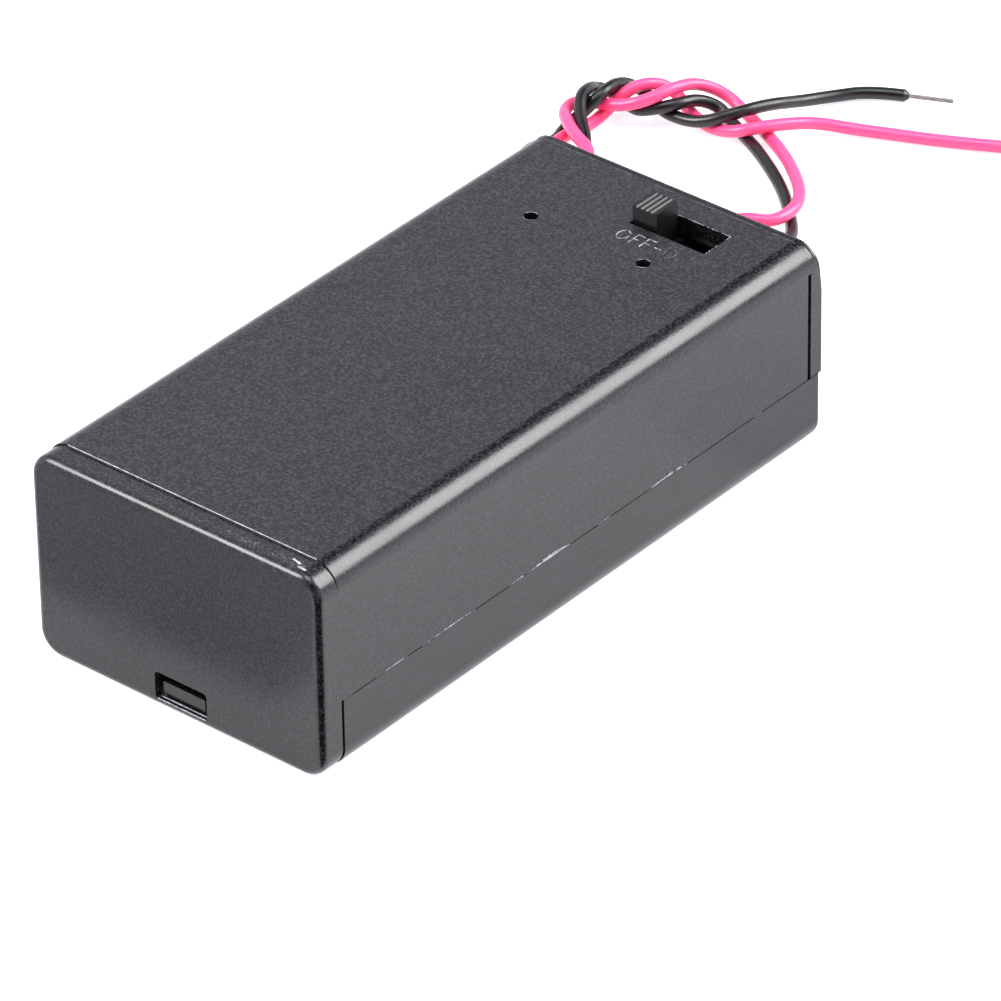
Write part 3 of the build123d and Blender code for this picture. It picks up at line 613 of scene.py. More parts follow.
@dataclass
class Lead:
    """One free lead: insulation over seven tinned strands, bare at its end. Sizes in metres."""

    name: str
    route: tuple[Point, ...]
    length: float
    radius: float = 0.62 * MM
    bare: float = 4.8 * MM
    spline_order: int = 3
    steps_a_point: int = 10
    roundness: int = 6
    outer_strands: int = 6
    strand_radius: float = 0.075 * MM
    strand_sides: int = 8
    strand_cuts: int = 20
    strand_turns: float = 0.45
    strand_crease: float = math.radians(40)
    covered: float = 0.6 * MM
    nose_sides: int = 40
    nose_cuts: int = 3
    nose_length: float = 0.42 * MM
    nose_radius: float = 0.3 * MM
    nose_crease: float = math.radians(50)
    rag_width: float = 0.4 * MM
    rag_depth: float = 0.1 * MM

    def end(self) -> tuple[Vector, Vector]:
        """Return where the insulation ends and which way the lead points there."""
        last, before = Vector(self.route[-1]), Vector(self.route[-2])
        return last, (last - before).normalized()

    def insulation(self) -> bpy.types.Object:
        """Run the insulation along the route as one smooth curve.

        Returns:
            The curve object.
        """
        curve = bpy.data.curves.new(f"{self.name}_lead_cord", "CURVE")
        curve.dimensions = "3D"
        spline = curve.splines.new("NURBS")
        spline.points.add(len(self.route) - 1)
        for point, place in zip(spline.points, self.route):
            point.co = (*place, 1.0)
        spline.order_u = self.spline_order
        spline.use_endpoint_u = True
        spline.resolution_u = self.steps_a_point
        curve.bevel_depth = self.radius
        curve.bevel_resolution = self.roundness
        curve.use_fill_caps = True
        cord = bpy.data.objects.new(f"{self.name}_lead_cord", curve)
        bpy.context.scene.collection.objects.link(cord)
        return cord

    def along(self) -> Matrix:
        """Return the turn and place that stand a piece's Z along the lead's end."""
        place, direction = self.end()
        return Matrix.Translation(place) @ direction.to_track_quat("Z", "Y").to_matrix().to_4x4()

    def strands(self) -> bpy.types.Object:
        """Lay six strands round a middle one and twist them.

        Returns:
            The bundle, as one mesh.
        """
        made = []
        for number in range(self.outer_strands + 1):
            angle = number * math.tau / self.outer_strands
            out = 0.0 if number == self.outer_strands else 2 * self.strand_radius
            deselect()
            bpy.ops.mesh.primitive_cylinder_add(
                vertices=self.strand_sides,
                radius=self.strand_radius,
                depth=self.bare + self.covered,
                location=(out * math.cos(angle), out * math.sin(angle), (self.bare - self.covered) / 2),
            )
            made.append(settle(bpy.context.object))
        bundle = join(made, f"{self.name}_lead_strands")
        take(bundle)
        bpy.ops.object.mode_set(mode="EDIT")
        bpy.ops.mesh.select_all(action="DESELECT")
        shape = bmesh.from_edit_mesh(bundle.data)
        for edge in shape.edges:
            edge.select_set(abs(edge.verts[0].co.z - edge.verts[1].co.z) > self.bare / 2)
        bmesh.update_edit_mesh(bundle.data)
        bpy.ops.mesh.subdivide(number_cuts=self.strand_cuts)
        bpy.ops.object.mode_set(mode="OBJECT")
        twist = bundle.modifiers.new("twist", "SIMPLE_DEFORM")
        twist.deform_method = "TWIST"
        twist.deform_axis = "Z"
        twist.angle = self.strand_turns * math.tau
        apply_modifiers(bundle)
        bpy.ops.object.shade_smooth_by_angle(angle=self.strand_crease)
        bundle.matrix_world = self.along()
        return settle(bundle)

    def nose(self) -> bpy.types.Object:
        """Make the insulation's drawn-in, slightly ragged end, which the stripping left.

        Returns:
            The end, as one mesh.
        """
        deselect()
        bpy.ops.mesh.primitive_cone_add(
            vertices=self.nose_sides,
            radius1=self.radius,
            radius2=self.nose_radius,
            depth=self.nose_length,
            location=(0, 0, self.nose_length / 2),
        )
        rim = settle(bpy.context.object)
        rim.name = f"{self.name}_lead_cut"
        bpy.ops.object.mode_set(mode="EDIT")
        bpy.ops.mesh.select_all(action="SELECT")
        bpy.ops.mesh.subdivide(number_cuts=self.nose_cuts)
        bpy.ops.mesh.normals_make_consistent(inside=False)
        bpy.ops.object.mode_set(mode="OBJECT")
        ragged = bpy.data.textures.new(f"{self.name}_ragged", "CLOUDS")
        ragged.noise_scale = self.rag_width
        shift = rim.modifiers.new("ragged", "DISPLACE")
        shift.texture = ragged
        shift.texture_coords = "LOCAL"
        shift.strength = self.rag_depth
        apply_modifiers(rim)
        bpy.ops.object.shade_smooth_by_angle(angle=self.nose_crease)
        rim.matrix_world = self.along()
        return settle(rim)

    def build(self, sleeve: bpy.types.Material, metal: bpy.types.Material) -> None:
        """Args:
            sleeve: The insulation's material.
            metal: The strands' material.
        """
        cord = finish_piece(self.insulation(), sleeve, "case")
        rim = finish_piece(self.nose(), sleeve, "case")
        bundle = finish_piece(self.strands(), metal, "case")
        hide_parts(f"{self.name}_lead")
        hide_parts(f"{self.name}_tip")


# The cut lengths of the leads outside the box, in metres.
RED_LENGTH, BLACK_LENGTH = 0.159, 0.142

# The points that each lead's curve follows from the wire holes to its bare end, in metres.
RED_ROUTE: tuple[Point, ...] = (
    (-0.01290, 0.03480, 0.01040), (-0.01290, 0.03820, 0.01040), (-0.01330, 0.04260, 0.00848),
    (-0.01360, 0.04770, 0.00534), (-0.01370, 0.05240, 0.00231), (-0.01350, 0.05550, 0.00080),
    (-0.01230, 0.05740, 0.00107), (-0.01070, 0.05780, 0.00207), (-0.00800, 0.05930, 0.00180),
    (-0.00830, 0.06390, 0.00192), (-0.01350, 0.06880, 0.00146), (-0.01900, 0.07260, 0.00070),
    (-0.02370, 0.07470, 0.00076), (-0.02670, 0.07520, 0.00177), (-0.02870, 0.07320, 0.00314),
    (-0.02910, 0.07010, 0.00386), (-0.03000, 0.06720, 0.00344), (-0.03240, 0.06610, 0.00241),
    (-0.03480, 0.06580, 0.00204), (-0.03610, 0.06500, 0.00209), (-0.03660, 0.06370, 0.00235),
    (-0.03620, 0.06200, 0.00239), (-0.03440, 0.06020, 0.00283), (-0.03160, 0.05820, 0.00306),
    (-0.02890, 0.05700, 0.00318), (-0.02780, 0.05510, 0.00256), (-0.02840, 0.05290, 0.00159),
    (-0.03040, 0.05150, 0.00086), (-0.03290, 0.05250, 0.00061), (-0.03420, 0.05570, 0.00106),
    (-0.03420, 0.05970, 0.00154), (-0.03420, 0.06340, 0.00083), (-0.03470, 0.06650, 0.00071),
    (-0.03360, 0.06790, 0.00254), (-0.03260, 0.06950, 0.00328), (-0.03170, 0.07150, 0.00273),
    (-0.03030, 0.07230, 0.00167), (-0.02800, 0.07140, 0.00071), (-0.02500, 0.07060, 0.00060),
    (-0.02200, 0.07010, 0.00144), (-0.01990, 0.07100, 0.00225), (-0.01850, 0.07390, 0.00192),
    (-0.01680, 0.07700, 0.00124), (-0.01390, 0.07880, 0.00075), (-0.01030, 0.08050, 0.00069),
    (-0.00630, 0.08230, 0.00065), (-0.00150, 0.08470, 0.00069), (0.00380, 0.08770, 0.00068),
)

BLACK_ROUTE: tuple[Point, ...] = (
    (-0.01090, 0.03480, 0.01280), (-0.01090, 0.03840, 0.01280), (-0.01020, 0.04300, 0.01079),
    (-0.00880, 0.04790, 0.00738), (-0.00710, 0.05250, 0.00383), (-0.00580, 0.05660, 0.00145),
    (-0.00630, 0.05980, 0.00061), (-0.00930, 0.06300, 0.00068), (-0.01270, 0.06620, 0.00062),
    (-0.01750, 0.06920, 0.00093), (-0.02150, 0.07150, 0.00063), (-0.02430, 0.07280, 0.00067),
    (-0.02600, 0.07330, 0.00143), (-0.02770, 0.07190, 0.00227), (-0.02820, 0.06910, 0.00269),
    (-0.03080, 0.06720, 0.00194), (-0.03290, 0.06810, 0.00124), (-0.03430, 0.06890, 0.00112),
    (-0.03590, 0.06860, 0.00173), (-0.03660, 0.06730, 0.00248), (-0.03600, 0.06550, 0.00338),
    (-0.03530, 0.06340, 0.00373), (-0.03370, 0.06140, 0.00290), (-0.03110, 0.05930, 0.00194),
    (-0.02960, 0.05620, 0.00178), (-0.02990, 0.05330, 0.00200), (-0.03210, 0.05220, 0.00206),
    (-0.03450, 0.05360, 0.00183), (-0.03570, 0.05640, 0.00116), (-0.03510, 0.05920, 0.00055),
    (-0.03580, 0.06170, 0.00082), (-0.03510, 0.06380, 0.00195), (-0.03420, 0.06530, 0.00353),
    (-0.03460, 0.06760, 0.00336), (-0.03470, 0.06960, 0.00260), (-0.03380, 0.07070, 0.00175),
    (-0.03220, 0.07080, 0.00115), (-0.02980, 0.06930, 0.00118), (-0.02530, 0.06920, 0.00153),
    (-0.02240, 0.07130, 0.00293), (-0.02120, 0.07520, 0.00255), (-0.02050, 0.07900, 0.00134),
    (-0.01920, 0.08270, 0.00069), (-0.01700, 0.08560, 0.00069), (-0.01390, 0.08710, 0.00065),
)


def lift(flat: tuple[Flat, ...], height: float) -> tuple[Point, ...]:
    """Raise flat points to one height."""
    return tuple((x, y, height) for x, y in flat)


def ring(x: float, y: float, half_width: float, half_length: float, height: float) -> tuple[Point, ...]:
    """Return a closed round or oval line at one height.

    Args:
        x: Its middle across the box.
        y: Its middle along the box.
        half_width: Half its size across the box.
        half_length: Half its size along the box.
        height: Its height.

    Returns:
        Its points, the first one again at the end.
    """
    steps = 36
    points = []
    for step in range(steps + 1):
        turn = math.tau * step / steps
        points.append((x + half_width * math.cos(turn), y + half_length * math.sin(turn), height))
    return tuple(points)


@dataclass
class Lines:
    """Thin round beads half sunk in a face: raised lines, burrs, rubbed edges and painted highlights. Sizes
    in millimetres.
    """

    name: str
    line_radius: float
    strokes: list[tuple[Point, ...]]
    roundness: int = 2

    def build(self) -> bpy.types.Object:
        """Build every stroke.

        Returns:
            One mesh of all the lines.
        """
        curve = bpy.data.curves.new(self.name, "CURVE")
        curve.dimensions = "3D"
        for stroke in self.strokes:
            spline = curve.splines.new("POLY")
            spline.points.add(len(stroke) - 1)
            for point, place in zip(spline.points, stroke):
                point.co = (*(size * MM for size in place), 1.0)
        curve.bevel_depth = self.line_radius * MM
        curve.bevel_resolution = self.roundness
        curve.use_fill_caps = True
        line = bpy.data.objects.new(self.name, curve)
        bpy.context.scene.collection.objects.link(line)
        return to_mesh(line)


@dataclass
class TrayDetails:
    """What the tray's mould, its stakes, its worn edges and its painted highlights add to the plain tray.
    Sizes in millimetres.
    """

    seed: int = 7
    top: float = 21.0
    ceiling: float = 19.3
    half_width: float = 16.5
    seam: float = 7.35
    edge_radius: float = 2.3
    edge_steps: int = 8
    # How far a bead on the rounded edges is drawn in, so that it stays inside the box.
    bead_inset: float = 0.07

    switch_y: float = 28.4
    stake_xs: Pair = (-1.6, 11.8)
    stake_radius: float = 2.8
    stake_top: float = 10.2
    stake_depth: float = 1.25
    stake_subdivisions: int = 6
    # The width and height of the lumps and of the pits in a stake's melted head.
    stake_pits: tuple[Pair, ...] = ((0.9, 0.35), (0.32, 0.22))

    cap_back: float = -32.1
    cap_front: float = -34.75
    cap_step: float = 0.18
    cap_step_gap: float = 0.02
    window: Pair = (-2.7, 3.2)
    ridge_height: float = 0.8
    ridge_depths: Pair = (0.07, 0.52)
    rear_lines: Pair = (33.05, 33.75)

    slot: tuple[float, float, float, float] = (0.75, 9.45, 26.5, 30.3)
    core_holes: tuple[Flat, ...] = ((-6.9, 21.9), (6.1, 21.9))
    core_hole_radius: float = 0.7
    # Where the two pale arcs of a core hole's rim start, painted highlights on the rim, and how long they
    # are, in steps of a ring.
    arc_starts: tuple[int, int] = (6, 22)
    arc_steps: int = 12
    arc_sink: float = 0.01

    letter_rows: Triple = (23.85, 24.6, 25.4)
    # Each F's stem and the reach of its upper bar.
    f_stems: tuple[Pair, ...] = ((2.8, 0.75), (4.02, 0.9))
    # How far an F's lower bar lies above the middle row, and its share of the upper one's reach.
    f_lower_bar: Pair = (0.05, 0.75)
    dash: Pair = (5.25, 6.0)
    o_half_height: float = 0.76
    # Each O's middle and half width.
    first_o: Pair = (1.66, 0.58)
    second_o: Pair = (7.0, 0.54)
    n_stems: Pair = (8.1, 9.15)

    fleck_count: int = 300
    # Flecks start in from the cap's right corner by the inset, and thin out to the left over the spread.
    fleck_inset: float = 2.6
    fleck_spread: float = 11.25
    fleck_left_margin: float = 3.0
    # How far behind the cap's front their row lies, and how far they scatter about it.
    fleck_row: Pair = (1.3, 0.24)
    fleck_reach: Pair = (0.02, 0.08)
    fleck_slant: float = 0.4
    # Two painted hot spots near the cap's right corner: short bright beads that stand for light caught there,
    # each from its start to its end.
    painted_hot_spots: tuple[tuple[Flat, Flat], ...] = (
        ((12.4, -33.05), (13.4, -33.3)),
        ((13.5, -33.68), (14.4, -33.74)),
    )
    # How far below the cap's top the hot spots' beads lie.
    hot_spot_sink: float = 0.06

    # Each sliver of flash on the right side: its start and end along the box, and how far up it reaches.
    # The left side has the same ones the other way round.
    burrs: tuple[Triple, ...] = (
        (-31.9, -30.6, 0.12),
        (-27.6, -23.2, 0.1),
        (-21.5, -14.2, 0.16),
        (-9.6, -7.6, 0.2),
        (-7.4, -1.2, 0.46),
        (2.6, 4.4, 0.1),
        (9.4, 15.2, 0.3),
        (24.8, 26.0, 0.08),
    )
    burr_step: float = 0.12
    burr_fewest_steps: int = 4
    burr_tear: Pair = (0.55, 1.0)
    # Above 1, this sets a sliver's widest place past its middle.
    burr_skew: float = 1.3
    # A sliver's foot stands off the wall by the first, and it leans out by the second for each millimetre up.
    burr_lean: Pair = (0.005, 0.06)
    burr_foot: float = 0.02
    burr_thickness: float = 0.04

    def lettering(self) -> tuple[bpy.types.Object, bpy.types.Object]:
        """Draw OFF-ON in front of the switch's slot.

        Returns:
            The first part, drawn paler for whitening and painted highlight, and the second part, drawn as a
            duller painted highlight.
        """
        bottom, middle, top = self.letter_rows
        rise, share = self.f_lower_bar
        flat: list[tuple[Flat, ...]] = []
        for stem, reach in self.f_stems:
            flat.append(((stem + reach, top), (stem, top), (stem, bottom)))
            flat.append(((stem, middle + rise), (stem + reach * share, middle + rise)))
        flat.append(tuple((x, middle) for x in self.dash))
        rounds = [
            ring(x, middle, half_width, self.o_half_height, self.top)
            for x, half_width in (self.first_o, self.second_o)
        ]
        left, right = self.n_stems
        last = lift(((left, bottom), (left, top), (right, bottom), (right, top)), self.top)
        first = [*(lift(stroke, self.top) for stroke in flat), rounds[0]]
        return (
            Lines("switch_lettering_off", line_radius=0.07, strokes=first).build(),
            Lines("switch_lettering_on", line_radius=0.06, strokes=[last, rounds[1]]).build(),
        )

    def imprint(self) -> bpy.types.Object:
        """Draw the battery's outline, its signs and the ejector rings on the floor of the bay.

        Returns:
            The raised lines, as one mesh.
        """
        flat: tuple[tuple[Flat, ...], ...] = (
            # The battery with its two terminals.
            (
                (9.72, -20.0), (9.72, 4.8), (9.61, 11.93), (6.7, 11.96), (7.36, 14.55), (2.94, 14.52),
                (3.36, 12.0), (-3.17, 11.65), (-2.33, 14.11), (-6.91, 14.2), (-6.28, 11.57), (-9.7, 11.4),
                (-9.7, -20.0),
            ),
            # The arrow, and the line across the battery.
            ((-4.3, 1.8), (-1.85, -4.9), (-6.2, -2.15), (-4.3, 1.8)),
            ((8.3, 1.35), (-7.8, 0.95)),
            # The minus, and the plus.
            ((4.4, 7.5), (5.8, 7.5)),
            ((-5.45, 7.3), (-4.05, 7.3)),
            ((-4.75, 6.6), (-4.75, 8.0)),
        )
        strokes = [lift(stroke, self.ceiling) for stroke in flat]
        # The rings round both signs, and those that two ejector pins left.
        for x, y, radius in ((5.1, 7.5, 1.0), (-4.75, 7.3, 1.0), (10.5, 17.3, 2.2), (11.7, 2.0, 2.2)):
            strokes.append(ring(x, y, radius, radius, self.ceiling))
        return Lines("bay_imprint", line_radius=0.06, strokes=strokes).build()

    def over(self, y: float) -> tuple[Point, ...]:
        """Return a line across the top at one place, down over both rounded edges.

        Args:
            y: Its place along the box.

        Returns:
            Its points, from the left wall to the right one.
        """
        inner = self.half_width - self.edge_radius
        low = self.top - self.edge_radius
        across = self.edge_radius - self.bead_inset
        right = []
        for step in range(self.edge_steps + 1):
            turn = math.pi / 2 * step / self.edge_steps
            right.append((inner + across * math.sin(turn), y, low + self.edge_radius * math.cos(turn)))
        left = [(-x, place, z) for x, place, z in reversed(right)]
        return (*left, *right)

    def broken(self, line: tuple[Point, ...], step: float, keep: float) -> list[tuple[Point, ...]]:
        """Break a line into ragged dashes.

        Args:
            line: The whole line.
            step: The length that is kept or dropped at a time, on average.
            keep: The share that is kept.

        Returns:
            The dashes.
        """
        shortest, longest = 0.4 * step, 1.6 * step
        dashes = []
        for start, end in zip(line, line[1:]):
            first, last = Vector(start), Vector(end)
            length = (last - first).length
            at = 0.0
            while at < length:
                stretch = random.uniform(shortest, longest)
                if random.random() < keep:
                    ends = (at, min(at + stretch, length))
                    dashes.append(tuple(tuple(first.lerp(last, along / length)) for along in ends))
                at += stretch
        return dashes

    def rubbed_and_highlit_edges(self) -> list[bpy.types.Object]:
        """Draw the thin pale edges, painted highlights on the slot's rim and on the core holes.

        Returns:
            The two sets of lines.
        """
        random.seed(self.seed)
        left, right, front, rear = self.slot
        rim = lift(((left, rear), (right, rear), (right, front)), self.top)
        radius, sunk = self.core_hole_radius, self.top - self.arc_sink
        arcs = [
            ring(x, y, radius, radius, sunk)[start : start + self.arc_steps]
            for x, y in self.core_holes
            for start in self.arc_starts
        ]
        return [
            Lines("slot_edge", line_radius=0.04, strokes=self.broken(rim, step=0.3, keep=0.6)).build(),
            Lines("core_hole_edges", line_radius=0.03, strokes=arcs).build(),
        ]

    def painted_highlight_edges(self) -> list[bpy.types.Object]:
        """Draw the painted highlights that run all along edges: the cap's step and the two ridges in the
        catch's window.

        Returns:
            The two sets of lines.
        """
        # The step's line lies just in front of the step, and stops where the rounded edges start.
        step = self.over(self.cap_back - self.cap_step_gap)[self.edge_steps : -self.edge_steps]
        left, right = self.window
        ridges = []
        for depth in self.ridge_depths:
            y = self.cap_front + depth
            ridges.append(((left, y, self.ridge_height), (right, y, self.ridge_height)))
        return [
            Lines("cap_step_edge", line_radius=0.05, strokes=[step]).build(),
            Lines("window_edges", line_radius=0.06, strokes=ridges).build(),
        ]

    def faint_highlight_edges(self) -> bpy.types.Object:
        """Draw the two low ridges that run across the rear end, in dull grey as a faint painted highlight.

        Returns:
            Both, as one mesh.
        """
        dashes = []
        for y in self.rear_lines:
            dashes += self.broken(self.over(y), step=1.6, keep=0.9)
        return Lines("rear_edge", line_radius=0.045, strokes=dashes).build()

    def scuffs_and_glints(self) -> tuple[bpy.types.Object, bpy.types.Object]:
        """Scatter small bright flecks along the cap's top, scuffs and painted glints on its grain, densest
        near the two painted hot spots at its right corner.

        Returns:
            The flecks and the knocks.
        """
        level = self.top - self.cap_step
        row, scatter = self.fleck_row
        strokes = []
        for _ in range(self.fleck_count):
            x = self.half_width - self.fleck_inset - abs(random.gauss(0.0, self.fleck_spread))
            if x > self.fleck_left_margin - self.half_width:
                y = self.cap_front + row + random.gauss(0.0, scatter)
                reach = random.uniform(*self.fleck_reach)
                strokes.append(lift(((x, y), (x + reach, y + self.fleck_slant * reach)), level))
        # Painted hot spots: short bright beads where the corner catches the light.
        sunk_hot_spots = [lift(knock, level - self.hot_spot_sink) for knock in self.painted_hot_spots]
        painted_hot_spots = Lines("cap_painted_hot_spots", line_radius=0.13, strokes=sunk_hot_spots).build()
        return Lines("cap_scuffs_and_glints", line_radius=0.022, strokes=strokes).build(), painted_hot_spots

    def stake_cap(self, number: int) -> bpy.types.Object:
        """Model one stake's melted head as a rough flat dome.

        Args:
            number: Which stake, 0 or 1.

        Returns:
            The head, over the plain one of the tray.
        """
        deselect()
        bpy.ops.mesh.primitive_ico_sphere_add(
            subdivisions=self.stake_subdivisions, radius=self.stake_radius * MM
        )
        cap = bpy.context.object
        cap.name = f"stake_cap_{number + 1}"
        cap.scale = (1, 1, self.stake_depth / self.stake_radius)
        settle(cap)
        bpy.ops.object.mode_set(mode="EDIT")
        bpy.ops.mesh.select_all(action="SELECT")
        bpy.ops.mesh.bisect(plane_co=(0, 0, 0), plane_no=(0, 0, 1), use_fill=True, clear_outer=True)
        bpy.ops.object.mode_set(mode="OBJECT")
        for width, height in self.stake_pits:
            pits = bpy.data.textures.new(f"pits_{number}_{width}", "CLOUDS")
            pits.noise_scale = width * MM
            shift = cap.modifiers.new("pits", "DISPLACE")
            shift.texture = pits
            shift.texture_coords = "LOCAL"
            shift.strength = height * MM
        cap.location = (self.stake_xs[number] * MM, self.switch_y * MM, self.stake_top * MM)
        apply_modifiers(cap)
        bpy.ops.object.shade_smooth()
        return settle(cap)

    def burr(self, side: Side, start: float, end: float, height: float) -> bpy.types.Object:
        """Model one torn sliver of moulding flash that stands on the seam.

        Args:
            side: Which long side.
            start: Where it starts along the box.
            end: Where it ends.
            height: How far it reaches up the wall at its widest.

        Returns:
            A thin ragged leaf, folded up against the tray's wall.
        """
        steps = max(int((end - start) / self.burr_step), self.burr_fewest_steps)
        stand_off, lean = self.burr_lean
        deselect()
        bpy.ops.mesh.primitive_grid_add(x_subdivisions=2, y_subdivisions=steps, size=1)
        leaf = bpy.context.object
        torn = [random.uniform(*self.burr_tear) for _ in range(steps + 1)]
        for vertex in leaf.data.vertices:
            share = vertex.co.y + 0.5
            reach = math.sin(math.pi * share**self.burr_skew) * torn[min(round(share * steps), steps)]
            rise = (vertex.co.x + 0.5) * height * reach
            vertex.co = (
                side.value * (self.half_width + stand_off + lean * rise) * MM,
                (start + share * (end - start)) * MM,
                (self.seam - self.burr_foot + rise) * MM,
            )
        wall = leaf.modifiers.new("wall", "SOLIDIFY")
        wall.thickness = self.burr_thickness * MM
        wall.offset = 0.0
        apply_modifiers(leaf)
        return settle(leaf)

    def flash(self, side: Side) -> bpy.types.Object:
        """Model the torn moulding flash along the seam of one side.

        Args:
            side: Which long side.

        Returns:
            All the slivers, as one mesh.
        """
        random.seed(self.seed + side.value)
        leaves = []
        for start, end, height in self.burrs:
            low, high = sorted((side.value * start, side.value * end))
            leaves.append(self.burr(side, low, high, height))
        return join(leaves, f"seam_flash_{side.name.lower()}")

    def build(self, palette: Palette) -> None:
        """Build all the tray's details. Their order fixes the random draws.

        Args:
            palette: The finishes.
        """
        paled, plain = self.lettering()
        imprint = self.imprint()
        rubbed_and_highlit = self.rubbed_and_highlit_edges()
        flecks, painted_hot_spots = self.scuffs_and_glints()
        painted_highlight = self.painted_highlight_edges()
        faint_highlight = self.faint_highlight_edges()
        stakes = [self.stake_cap(number) for number in range(len(self.stake_xs))]
        flashes = [self.flash(side) for side in Side]
        # Pale lines and flecks carry painted highlights; on the letters and the flash they also stand for
        # whitening by rubbing.
        dressed = (
            (palette.rubbed_and_highlit, [paled, *rubbed_and_highlit, flecks, *flashes]),
            (palette.faint_highlight, [plain, faint_highlight]),
            (palette.case, [imprint]),
            (palette.painted_highlight, [*painted_highlight, painted_hot_spots]),
            (palette.melted, stakes),
        )
        for material, pieces in dressed:
            for piece in pieces:
                finish_piece(piece, material, "case")


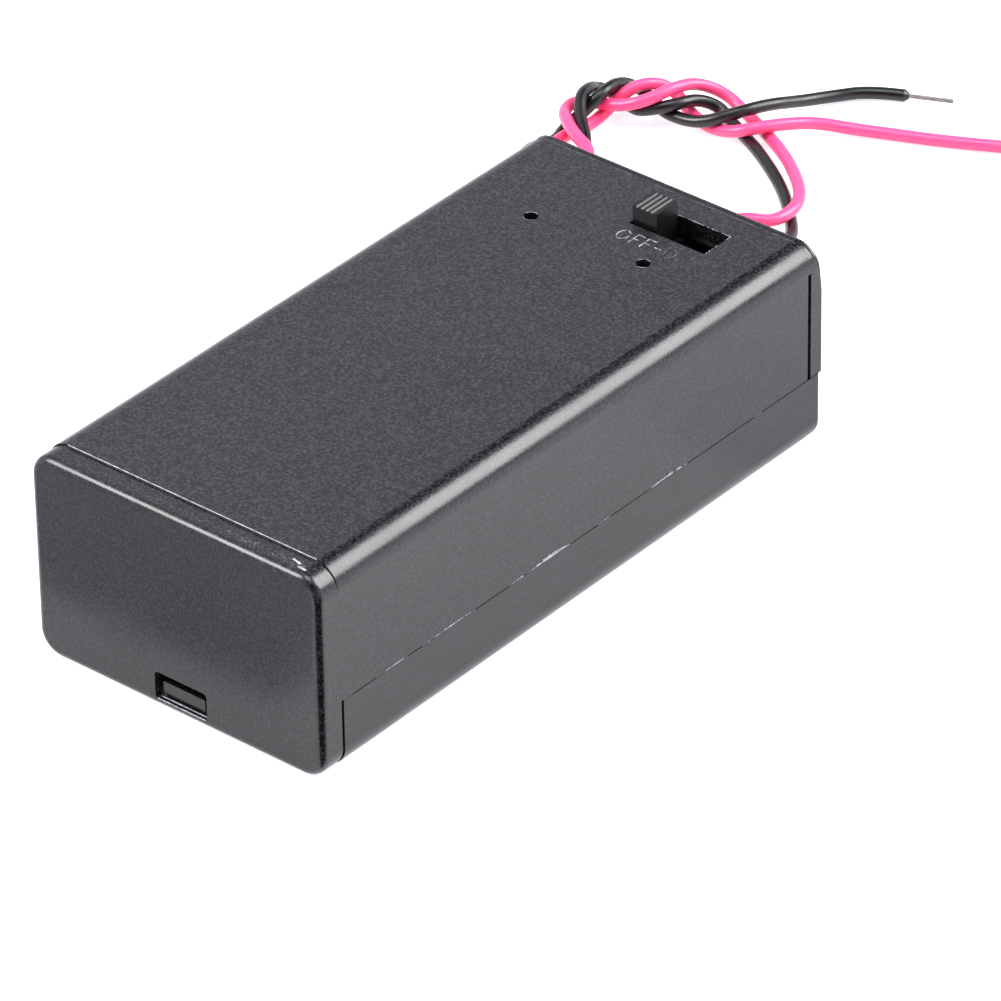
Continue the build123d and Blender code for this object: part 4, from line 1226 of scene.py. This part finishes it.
@dataclass
class Studio:
    """A pale floor, soft lights and the camera. Places in metres."""

    camera_place: Point = (0.39177, -0.45339, 0.40259)
    camera_right: Point = (0.76889, 0.63922, -0.01433)
    camera_down: Point = (0.34477, -0.43337, -0.83266)
    camera_forward: Point = (-0.53847, 0.63529, -0.55359)
    lens_mm: float = 289.93
    sensor_mm: float = 36
    clip: Pair = (0.02, 20)
    floor_size: float = 6.0
    floor_drop: float = 0.00002
    floor_colour: str = "#B8B8B8"
    floor_roughness: float = 0.9
    floor_glow: float = 0.73
    glow_colour: tuple[float, float, float, float] = (0.95, 0.95, 1.0, 1.0)
    sky: Triple = (0.88, 0.87, 0.965)
    black: str = "#020202"

    def camera(self) -> None:
        """Stand the camera at the photograph's place."""
        data = bpy.data.cameras.new("camera")
        data.lens = self.lens_mm
        data.sensor_width = self.sensor_mm
        data.clip_start, data.clip_end = self.clip
        camera = bpy.data.objects.new("camera", data)
        bpy.context.scene.collection.objects.link(camera)
        rows = zip(self.camera_right, self.camera_down, self.camera_forward, self.camera_place)
        camera.matrix_world = Matrix(
            [(right, -down, -forward, place) for right, down, forward, place in rows] + [(0, 0, 0, 1)]
        )
        bpy.context.scene.camera = camera

    def paint(self, sheet: bpy.types.Object, name: str, colour: str, glow: float) -> bpy.types.Node:
        """Give a sheet of the studio its colour and its glow.

        Args:
            sheet: The floor or a card.
            name: Its material's name.
            colour: Its colour.
            glow: The light that it gives off.

        Returns:
            Its surface shader.
        """
        material = bpy.data.materials.new(name)
        material.use_nodes = True
        shader = material.node_tree.nodes["Principled BSDF"]
        shader.inputs["Base Color"].default_value = linear(colour)
        shader.inputs["Emission Color"].default_value = self.glow_colour
        shader.inputs["Emission Strength"].default_value = glow
        sheet.data.materials.append(material)
        return shader

    def floor(self) -> None:
        """Lay the pale floor under the object, lit from below as well, so that shadows stay faint."""
        deselect()
        bpy.ops.mesh.primitive_plane_add(size=self.floor_size, location=(0, 0, -self.floor_drop))
        floor = bpy.context.object
        floor.name = "floor"
        # Coated paper: an even, nearly white ground with no gloss.
        shader = self.paint(floor, "paper_coated", self.floor_colour, self.floor_glow)
        shader.inputs["Roughness"].default_value = self.floor_roughness

    def light(self, name: str, place: Point, size: Pair, power: float) -> None:
        """Hang a soft box that looks at the object.

        Args:
            name: The light's name.
            place: Where it hangs.
            size: Its width and height.
            power: Its power in watts.
        """
        data = bpy.data.lights.new(name, "AREA")
        data.shape = "RECTANGLE"
        data.size, data.size_y = size
        data.energy = power
        lamp = bpy.data.objects.new(name, data)
        bpy.context.scene.collection.objects.link(lamp)
        lamp.location = place
        lamp.rotation_euler = (-Vector(place)).to_track_quat("-Z", "Y").to_euler()

    def flag(
        self, name: str, place: Point, size: Pair, colour: str, turn: float = 0.0, glow: float = 0.0
    ) -> None:
        """Stand a dull card where the box reflects it as a darker area; the camera doesn't see it.

        Args:
            name: The card's name.
            place: Its middle. A card at floor height lies flat; any other faces the object.
            size: Its width and height.
            colour: Its colour.
            turn: How far a card that lies flat is turned, in degrees.
            glow: The light that it gives off, as the floor does.
        """
        deselect()
        bpy.ops.mesh.primitive_plane_add(size=1)
        card = bpy.context.object
        card.name = name
        card.scale = (*size, 1)
        card.location = place
        if place[2]:
            card.rotation_euler = Vector(place).to_track_quat("Z", "Y").to_euler()
        else:
            card.rotation_euler.z = math.radians(turn)
        settle(card)
        # Felt: a card with no gloss of its own.
        shader = self.paint(card, f"felt_{name}", colour, glow)
        shader.inputs["Roughness"].default_value = 1.0
        shader.inputs["Specular IOR Level"].default_value = 0.0
        card.visible_camera = False
        card.visible_shadow = False
        card.visible_diffuse = False

    def build(self) -> None:
        """Set up the world, the floor, the lights and the camera."""
        world = bpy.data.worlds.new("studio")
        world.use_nodes = True
        background = world.node_tree.nodes["Background"]
        background.inputs["Color"].default_value = (*self.sky, 1)
        bpy.context.scene.world = world
        bpy.context.scene.view_settings.view_transform = "Standard"
        self.floor()
        # One soft box behind on the right, one in front on the left, one overhead.
        self.light("key", place=(0.68, 0.81, 0.76), size=(0.75, 0.95), power=25)
        self.light("fill", place=(-0.65, -0.66, 0.76), size=(0.42, 0.62), power=14)
        self.light("over", place=(0.1, -0.15, 1.6), size=(0.8, 0.8), power=12)
        # One card stands behind the box and one by the camera. The others lie on the floor: off the near
        # corner, in front and along the right side.
        self.flag("flag_rear", (-0.235, 0.63, 0.75), (0.38, 1.2), self.black)
        self.flag("flag_camera", (0.71, -0.84, 0.73), (1.2, 1.2), self.black)
        self.flag("flag_corner", (0.1974, -0.1548, 0.0), (0.304, 0.31), self.black, turn=12)
        self.flag("flag_front", (-0.0975, -0.142, 0.0), (0.205, 0.2), "#A8A8B0")
        self.flag("flag_side", (0.12, 0.172, 0.0), (0.205, 0.29), "#C0C0C8", glow=0.4)
        self.camera()


def main() -> None:
    """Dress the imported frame, build the new pieces and set up the studio."""
    logging.basicConfig(level=logging.INFO, format="%(message)s")
    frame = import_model()
    deselect()
    palette = Palette()
    for name, material in palette.nodes().items():
        node = frame["nodes"][name]
        node.data.materials.clear()
        node.data.materials.append(material)
        LOG.info("%s shows %s", name, material.name)
    Lead("red", RED_ROUTE, RED_LENGTH).build(palette.red, palette.strand)
    Lead("black", BLACK_ROUTE, BLACK_LENGTH).build(palette.black, palette.strand)
    TrayDetails().build(palette)
    Studio().build()


if __name__ == "__main__":
    main()
